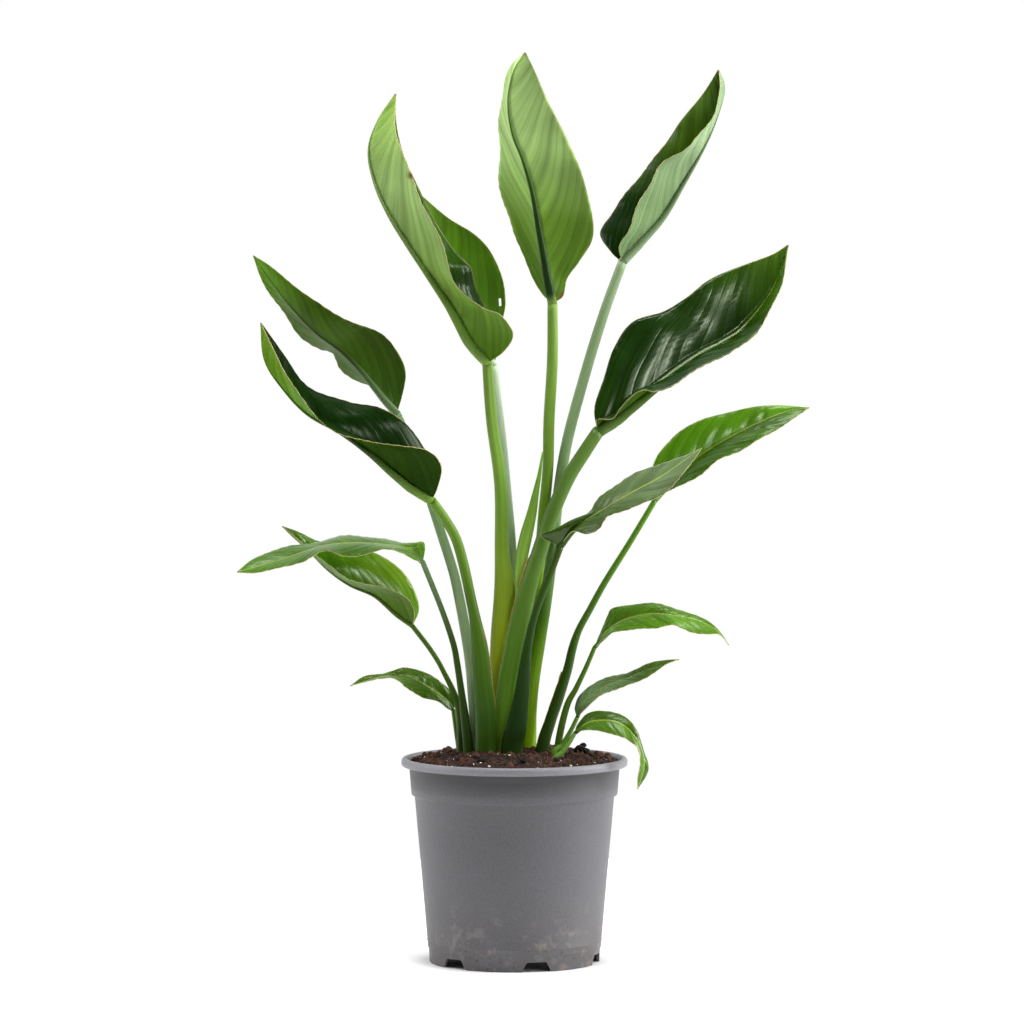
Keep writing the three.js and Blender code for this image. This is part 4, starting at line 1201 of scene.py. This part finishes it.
class PLANT_OT_blades(bpy.types.Operator):
    """Make the fifteen waved leaf blades with their midribs"""

    bl_idname = "plant.blades"
    bl_label = "Leaf blades"

    def execute(self, context):
        sizes = context.scene.plant_sizes
        dry_edge, contrast = "#c9bd85", 0.12
        upper = leaf_skin(
            "waxy_upper_leaf", -1, 0.22, 0.5, "#e0eed2", ("#a9bf4e", 2.6, 0.8), dry_edge, contrast)
        under = leaf_skin(
            "dull_under_leaf", 1, 0.44, 0.3, "#c4e29a", ("#4a6d1c", 1.2, 0.4), dry_edge, contrast)
        rib = stalk_skin("fleshy_midrib", 0.45, 0.06)
        for leaf in LEAVES:
            piece = blade_piece(leaf, sizes, [upper, under, rib])
            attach(piece, "root")
            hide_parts(f"{leaf['name']}_blade")
        return {"FINISHED"}


class PLANT_OT_stalks(bpy.types.Operator):
    """Make the grooved leaf stalks and the papery edges of their sheaths"""

    bl_idname = "plant.stalks"
    bl_label = "Leaf stalks"

    def execute(self, context):
        skin = stalk_skin("smooth_stalk_skin", 0.42, 0.07)
        for leaf in LEAVES:
            name = f"{leaf['name']}_stalk"
            piece = stem_piece(
                f"{name}_skin", leaf["stalk"], leaf["stem"], skin, joint_direction(leaf), leaf["groove"])
            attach(piece, "root")
            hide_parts(name)
        dry = two_tone("dry_sheath_edge", "#8c7430", "#bfa25c", 300.0, 0.7, 0.2)
        for index, (name, rows) in enumerate(SHEATH_EDGES):
            leaf = next(item for item in LEAVES if item["name"] == name)
            piece = self.edge(f"sheath_edge_{index + 1:02d}", leaf, rows, dry)
            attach(piece, "root")
        return {"FINISHED"}

    def edge(self, name, leaf, rows, material):
        """A thin papery lip that stands out from a stalk."""
        steps = 40
        rows = np.asarray(rows, float)
        read = catmull(rows, np.linspace(0, 1, steps))
        path = np.asarray(leaf["stalk"], float)
        centre, _, sizes = by_length(path[:, :3], read[:, 0], path[:, 3:])
        direction = tangents(centre)
        across = unit(np.array([1.0, 0, 0]) - direction * direction[:, :1])
        along = np.cross(direction, across)
        turn = np.radians(read[:, 1])[:, None]
        out = unit(across * np.cos(turn) + along * np.sin(turn))
        foot = centre + across * sizes[:, :1] * np.cos(turn) + along * sizes[:, 1:2] * np.sin(turn)
        foot = foot - out * 0.5
        reach = np.maximum(0.1, read[:, 2])[:, None]
        side = unit(np.cross(direction, out))
        thick = 0.22
        waver = 0.25 * np.sin(np.linspace(0, 17, steps))[:, None]
        lip = foot + out * (reach + 0.5 + waver * reach)
        corners = np.stack([
            foot - side * thick, lip - side * thick * 0.6, lip + side * thick * 0.6, foot + side * thick,
        ], axis=1)
        faces = tube_faces(steps, 4)
        return make_piece(name, in_frame(corners), faces, [material])


class PLANT_OT_new_leaf(bpy.types.Operator):
    """Make the rolled new leaf"""

    bl_idname = "plant.new_leaf"
    bl_label = "New leaf"

    def execute(self, context):
        skin = stalk_skin("tender_new_leaf", 0.4, 0.12)
        piece = stem_piece("new_leaf_skin", SPEAR, SPEAR_TINTS, skin, None, [-80, 0.2])
        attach(piece, "root")
        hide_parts("new_leaf")
        return {"FINISHED"}


# The pot's outside and inside as radius and height, from under its floor round to its top
POT_PROFILE = [
    [0, 9.6], [40, 9.6], [76.0, 9.6], [76.6, 9.0], [76.5, 0.6], [76.9, 0], [78.5, 0], [79, 0.5],
    [79.6, 12.9], [80.0, 13.7], [80.5, 14.2], [80.95, 19.6], [81.35, 20.2], [81.35, 21.2], [81.1, 21.9],
    [84.0, 55], [87.0, 90], [89.9, 122.5], [92.6, 153.8], [93.0, 154.8], [93.8, 155.5], [95.2, 155.8],
    [95.7, 156.6], [96.4, 165], [97.1, 174], [97.6, 180.6], [98.4, 181.7], [100, 182.1], [103.2, 182.3],
    [104.4, 182.9], [105, 184.2], [105, 186.9], [104.6, 188.4], [103.6, 189.5], [102, 190],
    [100.6, 189.9], [99.6, 189.2], [98.9, 187.8], [96.6, 182], [94.1, 157.2], [91.3, 154.8],
    [77.9, 11.4], [77.2, 11.1], [40, 11.1], [0, 11.1],
]
POT_SIDES = 144

# What is cut out of the pot, in millimetres: the notches' outline across and up and how far from
# the axis they reach, and the drain holes' number, ring, radii, sides and reach up through the floor
NOTCHES = 6
NOTCH_OUTLINE = ((-14.5, -1), (14.5, -1), (9.6, 8.3), (8.4, 9), (-8.4, 9), (-9.6, 8.3))
NOTCH_REACH = (69, 89)
DRAINS, DRAIN_RING, DRAIN_RADIUS, MIDDLE_DRAIN_RADIUS, DRAIN_SIDES = 6, 52, 5.0, 6.0, 24
DRAIN_REACH = (4, 16)


class PLANT_OT_pot(bpy.types.Operator):
    """Make the nursery pot with its rolled rim, step, notched foot and drain holes"""

    bl_idname = "plant.pot"
    bl_label = "Nursery pot"

    def execute(self, context):
        sides = POT_SIDES
        profile = np.array(POT_PROFILE)
        inner = profile[1:-1]
        rings = ring_points(inner[:, 0], inner[:, 1], sides)
        points = np.concatenate([rings.reshape(-1, 3), [[0, 0, profile[0, 1]], [0, 0, profile[-1, 1]]]])
        count = len(inner)
        faces = band_faces(count, sides)
        under, over = count * sides, count * sides + 1
        for j in range(sides):
            faces.append((under, (j + 1) % sides, j))
            faces.append((over, (count - 1) * sides + j, (count - 1) * sides + (j + 1) % sides))
        plastic = moulded_polypropylene(context.scene.plant_colours)
        piece = make_piece("nursery_pot", in_frame(points), faces, [plastic])
        cutter = self.cutter(plastic)
        cut = piece.modifiers.new("notches and drains", "BOOLEAN")
        cut.operation = "DIFFERENCE"
        cut.solver = "EXACT"
        cut.object = cutter
        mesh = modified_mesh(piece, "nursery_pot")
        piece.modifiers.clear()
        piece.data = mesh
        mesh.set_sharp_from_angle(angle=math.radians(32))
        bpy.data.objects.remove(cutter)
        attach(piece, "root")
        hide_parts("pot")
        return {"FINISHED"}

    def cutter(self, material):
        """Six wedge notches through the foot ring and seven drain holes through the floor."""
        points, faces = [], []
        for k in range(NOTCHES):
            angle = math.radians(-45 + 360 / NOTCHES * k)
            out = np.array([math.sin(angle), -math.cos(angle), 0])
            across = np.array([math.cos(angle), math.sin(angle), 0])
            start = len(points)
            for depth in NOTCH_REACH:
                for side, z in NOTCH_OUTLINE:
                    points.append(out * depth + across * side + np.array([0, 0, z]))
            faces += tube_faces(2, len(NOTCH_OUTLINE), start)
        turns = [2 * math.pi / DRAINS * k for k in range(DRAINS)]
        drains = [(DRAIN_RING * math.cos(turn), DRAIN_RING * math.sin(turn), DRAIN_RADIUS) for turn in turns]
        for x, y, radius in drains + [(0.0, 0.0, MIDDLE_DRAIN_RADIUS)]:
            start = len(points)
            for z in DRAIN_REACH:
                for j in range(DRAIN_SIDES):
                    # Turned a little, so that no corner lies on a radial edge of the floor
                    turn = 2 * math.pi * (j + 0.3) / DRAIN_SIDES
                    points.append(np.array([x + radius * math.cos(turn), y + radius * math.sin(turn), z]))
            faces += tube_faces(2, DRAIN_SIDES, start)
        return make_piece("notch_cutter", in_frame(points), faces, [material])


# Dried root hairs that stand up out of the soil: points in millimetres from the pot's axis
ROOT_HAIRS = [
    [[37, -6, 190], [39, -7, 197], [38, -8, 204], [41, -8, 211], [40, -9, 218]],
    [[39, -5, 190], [41, -6, 198], [43, -7, 203], [42, -8, 209], [44, -8, 214]],
    [[38, -8, 190], [37, -9, 196], [40, -10, 200], [39, -10, 206]],
    [[41, -8, 190], [43, -9, 195], [42, -10, 199], [45, -11, 203]],
]

# Loose clods on the soil: x, y, z of the middle and radius
LOOSE_CLODS = [
    [61, 14, 196, 5], [66, 13, 194, 4.2], [57, 17, 193, 4.5], [69, 16, 192, 3.4], [64, 17, 199.5, 3],
    [-52, -48, 192, 4], [-30, -62, 193, 4.5], [8, -66, 193, 4.5], [38, -52, 192, 3.8],
]


class PLANT_OT_soil(bpy.types.Operator):
    """Make the potting soil with its crumbs, perlite grains and fibres"""

    bl_idname = "plant.soil"
    bl_label = "Potting soil"

    def execute(self, context):
        sizes = context.scene.plant_sizes
        earth = two_tone("damp_potting_soil", "#090402", "#22110a", 420.0, 0.92, 1.6)
        radii = np.concatenate([np.linspace(1.5, 94, 62), [96.0, 96.1]])
        sides = SOIL_SIDES
        ground = ring_points(radii, 0 * radii, sides)
        x, y = ground[..., 0], ground[..., 1]
        chance = np.random.default_rng(7)
        z = soil_height(x, y, sizes) + chance.normal(0, 0.35, x.shape)
        top = np.stack([x, y, z], axis=-1)
        rings = np.concatenate([top, ring_points(*zip(*SOIL_WALL), sides)])
        ends = [[0, 0, float(z[0].mean())], [0, 0, SOIL_WALL[-1][1]]]
        points = np.concatenate([rings.reshape(-1, 3), ends])
        count = len(rings)
        faces = band_faces(count, sides, turned=True)
        for j in range(sides):
            nxt = (j + 1) % sides
            faces.append((count * sides, j, nxt))
            faces.append((count * sides + 1, (count - 1) * sides + nxt, (count - 1) * sides + j))
        bed = make_piece("soil_bed", in_frame(points), faces, [earth])
        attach(bed, "root")
        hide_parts("soil")

        # Crumbs and grains lie on the bed inside the rim
        reach = 61
        lid_faces = band_faces(reach, sides, turned=True)
        lid = make_piece("strewing_ground", in_frame(top[:reach]), lid_faces, [earth])
        crumb = two_tone("peat_crumb", "#100703", "#56301c", 170.0, 0.9, 0.8)
        pearl = two_tone("expanded_perlite", "#cfcac0", "#f2efe8", 900.0, 0.8, 0.3)
        fibre = two_tone("coir_fibre", "#6b4a2c", "#a98458", 260.0, 0.85, 0.2)
        stuffs = [
            ("soil_crumbs", lump_shape("crumb_shape", 1, 0.7, (1, 0.85, 0.7), 3), crumb,
             sizes.crumb_density, 1.2 * MM, 4.2 * MM, 11),
            ("soil_clods", lump_shape("clod_shape", 2, 0.45, (1, 0.85, 0.8), 4), crumb,
             sizes.clod_density, 4.5 * MM, 9 * MM, 14),
            ("perlite_grains", lump_shape("pearl_shape", 1, 0.3, (1, 0.9, 0.9), 5), pearl,
             sizes.pearl_density, 0.8 * MM, 3.4 * MM, 12),
            ("soil_fibres", lump_shape("fibre_shape", 1, 0.2, (1, 0.07, 0.07), 9), fibre,
             sizes.fibre_density, 4 * MM, 12 * MM, 13),
        ]
        for name, shape, material, density, smallest, largest, seed in stuffs:
            piece = strew(name, lid, shape, material, density, smallest, largest, seed)
            bpy.data.objects.remove(shape)
            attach(piece, "root")
        bpy.data.objects.remove(lid)
        dried = two_tone("dried_root_hair", "#9a877c", "#d9cbc0", 260.0, 0.8, 0.1)
        piece = self.threads("dried_root_hairs", ROOT_HAIRS, dried)
        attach(piece, "root")
        piece = self.heap("loose_clods", LOOSE_CLODS, earth)
        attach(piece, "root")
        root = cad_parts["rootstock"]
        root.data.materials.clear()
        root.data.materials.append(two_tone("pale_root_skin", "#8a6f48", "#c8b083", 160.0, 0.85, 0.6))
        return {"FINISHED"}

    def threads(self, name, lines, material):
        """Hair-thin curved threads in one mesh."""
        steps, sides = 16, 6
        points, faces = [], []
        for line in lines:
            centre, _ = by_length(line, np.linspace(0, 1, steps))
            radius = np.linspace(0.7, 0.35, steps)
            rings = oval_rings(centre, tangents(centre), (1, 0, 0), radius, radius, sides)
            faces += tube_faces(steps, sides, steps * sides * len(points))
            points.append(rings.reshape(-1, 3))
        return make_piece(name, in_frame(np.concatenate(points)), faces, [material])

    def heap(self, name, lumps, material):
        """Uneven clods lying at set places, as one mesh."""
        work = bmesh.new()
        for seed, (x, y, z, radius) in enumerate(lumps):
            shape = lump_shape(f"{name}_shape", 3, 0.3, (2 * radius, 2 * radius, 1.6 * radius), 20 + seed)
            shape.data.transform(Matrix.Translation((x, y, z)))
            shape.data.transform(Matrix.Scale(MM, 4))
            shape.data.transform(Matrix.Translation((AXIS_X, AXIS_Y, 0)))
            work.from_mesh(shape.data)
            bpy.data.objects.remove(shape)
        mesh = bpy.data.meshes.new(name)
        work.to_mesh(mesh)
        work.free()
        mesh.materials.append(material)
        return linked(name, mesh)


# The studio: the floor's rings and their sides, its glow's start and end as distances from the
# pot's axis in metres, and each soft light's name, place, aim, width, height and power
FLOOR_RINGS, FLOOR_SIDES = 12, 64
FLOOR_GLOW = (0.076, 0.105)
LIGHTS = (
    ("top_softbox", (-0.1, -0.45, 2.7), (0, 0, 0.4), 1.6, 1.2, 58),
    ("left_softbox", (-2.7, 0.2, 1.3), (0, 0, 0.45), 1.2, 2.2, 46),
    ("right_softbox", (2.7, 0.15, 1.3), (0, 0, 0.45), 1.2, 2.2, 102),
    ("high_softbox", (2.1, -1.2, 2.2), (0, 0, 0.6), 0.5, 0.5, 12),
    ("front_softbox", (1.35, -2.6, 1.35), (0, 0, 0.55), 0.35, 0.5, 13),
)
WHITE = (1.0, 1.0, 1.0, 1.0)


class PLANT_OT_stage(bpy.types.Operator):
    """Make the pale floor, the soft lights and the camera"""

    bl_idname = "plant.stage"
    bl_label = "Studio"

    def execute(self, context):
        scene = context.scene
        self.floor(scene.plant_colours)
        for light in LIGHTS:
            self.light(*light)
        scene.world = self.sky()
        scene.view_settings.view_transform = "Standard"
        camera = bpy.data.cameras.new("camera")
        camera.lens = LENS
        camera.sensor_width = SENSOR
        camera.clip_end = 40
        holder = linked("camera", camera)
        axis = Vector((AXIS_X, AXIS_Y, 0))
        holder.location = axis + Vector(CAMERA) * MM
        self.aim(holder, holder.location, axis + Vector(CAMERA_AIM) * MM)
        scene.camera = holder
        return {"FINISHED"}

    def floor(self, colours):
        """The floor, which glows as painted light from a hand's breadth out from the pot, washing out
        shadows there, and so brightens into the white background.
        """
        material, tree, shader = start_material("matte_studio_floor")
        place = object_place(tree)
        level = spread(tree, noise(tree, place, 3.0), 0.0, 1.0, 0.985, 1.0)
        away = add(tree, "ShaderNodeVectorMath", {0: place, 1: (AXIS_X, AXIS_Y, 0.0)}, operation="DISTANCE")
        glow = spread(
            tree, away.outputs["Value"], *FLOOR_GLOW, 0.0, 0.35, interpolation_type="SMOOTHSTEP")
        feed(tree, shader, {
            "Base Color": scaled(tree, tuple(colours.floor_colour), level),
            "Roughness": 0.9, "Emission Color": WHITE, "Emission Strength": glow,
        })
        rings = ring_points(np.linspace(0.08, 0.8, FLOOR_RINGS), np.zeros(FLOOR_RINGS), FLOOR_SIDES)
        points = np.concatenate([rings.reshape(-1, 3), [[0.0, 0.0, 0.0]]])
        middle = FLOOR_RINGS * FLOOR_SIDES
        faces = [(middle, j, (j + 1) % FLOOR_SIDES) for j in range(FLOOR_SIDES)]
        faces += band_faces(FLOOR_RINGS, FLOOR_SIDES, turned=True)
        return make_piece("studio_floor", points, faces, [material])

    def sky(self):
        """Light from all round, stronger from behind, with plain white where the camera sees it."""
        world = bpy.data.worlds.new("studio_world")
        world.use_nodes = True
        tree = world.node_tree
        tree.nodes.clear()
        towards = add(tree, "ShaderNodeTexCoord").outputs["Generated"]
        depth = add(tree, "ShaderNodeSeparateXYZ", {"Vector": towards}).outputs["Y"]
        strength = spread(tree, depth, -0.5, 0.7, 0.075, 0.95, interpolation_type="SMOOTHSTEP")
        shine = add(tree, "ShaderNodeBackground", {"Color": WHITE, "Strength": strength})
        backdrop = add(tree, "ShaderNodeBackground", {"Color": WHITE, "Strength": 1.0})
        seen = add(tree, "ShaderNodeLightPath").outputs["Is Camera Ray"]
        both = add(tree, "ShaderNodeMixShader", {0: seen, 1: shine.outputs[0], 2: backdrop.outputs[0]})
        add(tree, "ShaderNodeOutputWorld", {"Surface": both.outputs[0]})
        return world

    def light(self, name, where, towards, wide, high, power):
        """One oblong soft light."""
        data = bpy.data.lights.new(name, "AREA")
        data.shape = "RECTANGLE"
        data.size = wide
        data.size_y = high
        data.energy = power
        lamp = linked(name, data)
        lamp.location = where
        self.aim(lamp, Vector(where), Vector(towards))

    def aim(self, item, where, towards):
        """Turns a light or the camera towards a place."""
        item.rotation_euler = (towards - where).to_track_quat("-Z", "Y").to_euler()


class PLANT_PT_panel(bpy.types.Panel):
    """Lists the plant's sizes, colours and pieces"""

    bl_idname = "PLANT_PT_panel"
    bl_label = "Potted bird of paradise"
    bl_space_type = "VIEW_3D"
    bl_region_type = "UI"
    bl_category = "Plant"

    def draw(self, context):
        layout = self.layout
        for group in (context.scene.plant_sizes, context.scene.plant_colours):
            for name in group.bl_rna.properties.keys():
                if name not in ("rna_type", "name"):
                    layout.prop(group, name)
        for step in STEPS:
            layout.operator(step.bl_idname)


STEPS = (
    PLANT_OT_blades,
    PLANT_OT_stalks,
    PLANT_OT_new_leaf,
    PLANT_OT_pot,
    PLANT_OT_soil,
    PLANT_OT_stage,
)
CLASSES = (PlantSizes, PlantColours, *STEPS, PLANT_PT_panel)


def register():
    for item in CLASSES:
        bpy.utils.register_class(item)
    bpy.types.Scene.plant_sizes = bpy.props.PointerProperty(type=PlantSizes)
    bpy.types.Scene.plant_colours = bpy.props.PointerProperty(type=PlantColours)


def unregister():
    del bpy.types.Scene.plant_sizes
    del bpy.types.Scene.plant_colours
    for item in reversed(CLASSES):
        bpy.utils.unregister_class(item)


def main():
    register()
    bpy.ops.plant.blades()
    bpy.ops.plant.stalks()
    bpy.ops.plant.new_leaf()
    bpy.ops.plant.pot()
    bpy.ops.plant.soil()
    bpy.ops.plant.stage()


if __name__ == "__main__":
    main()
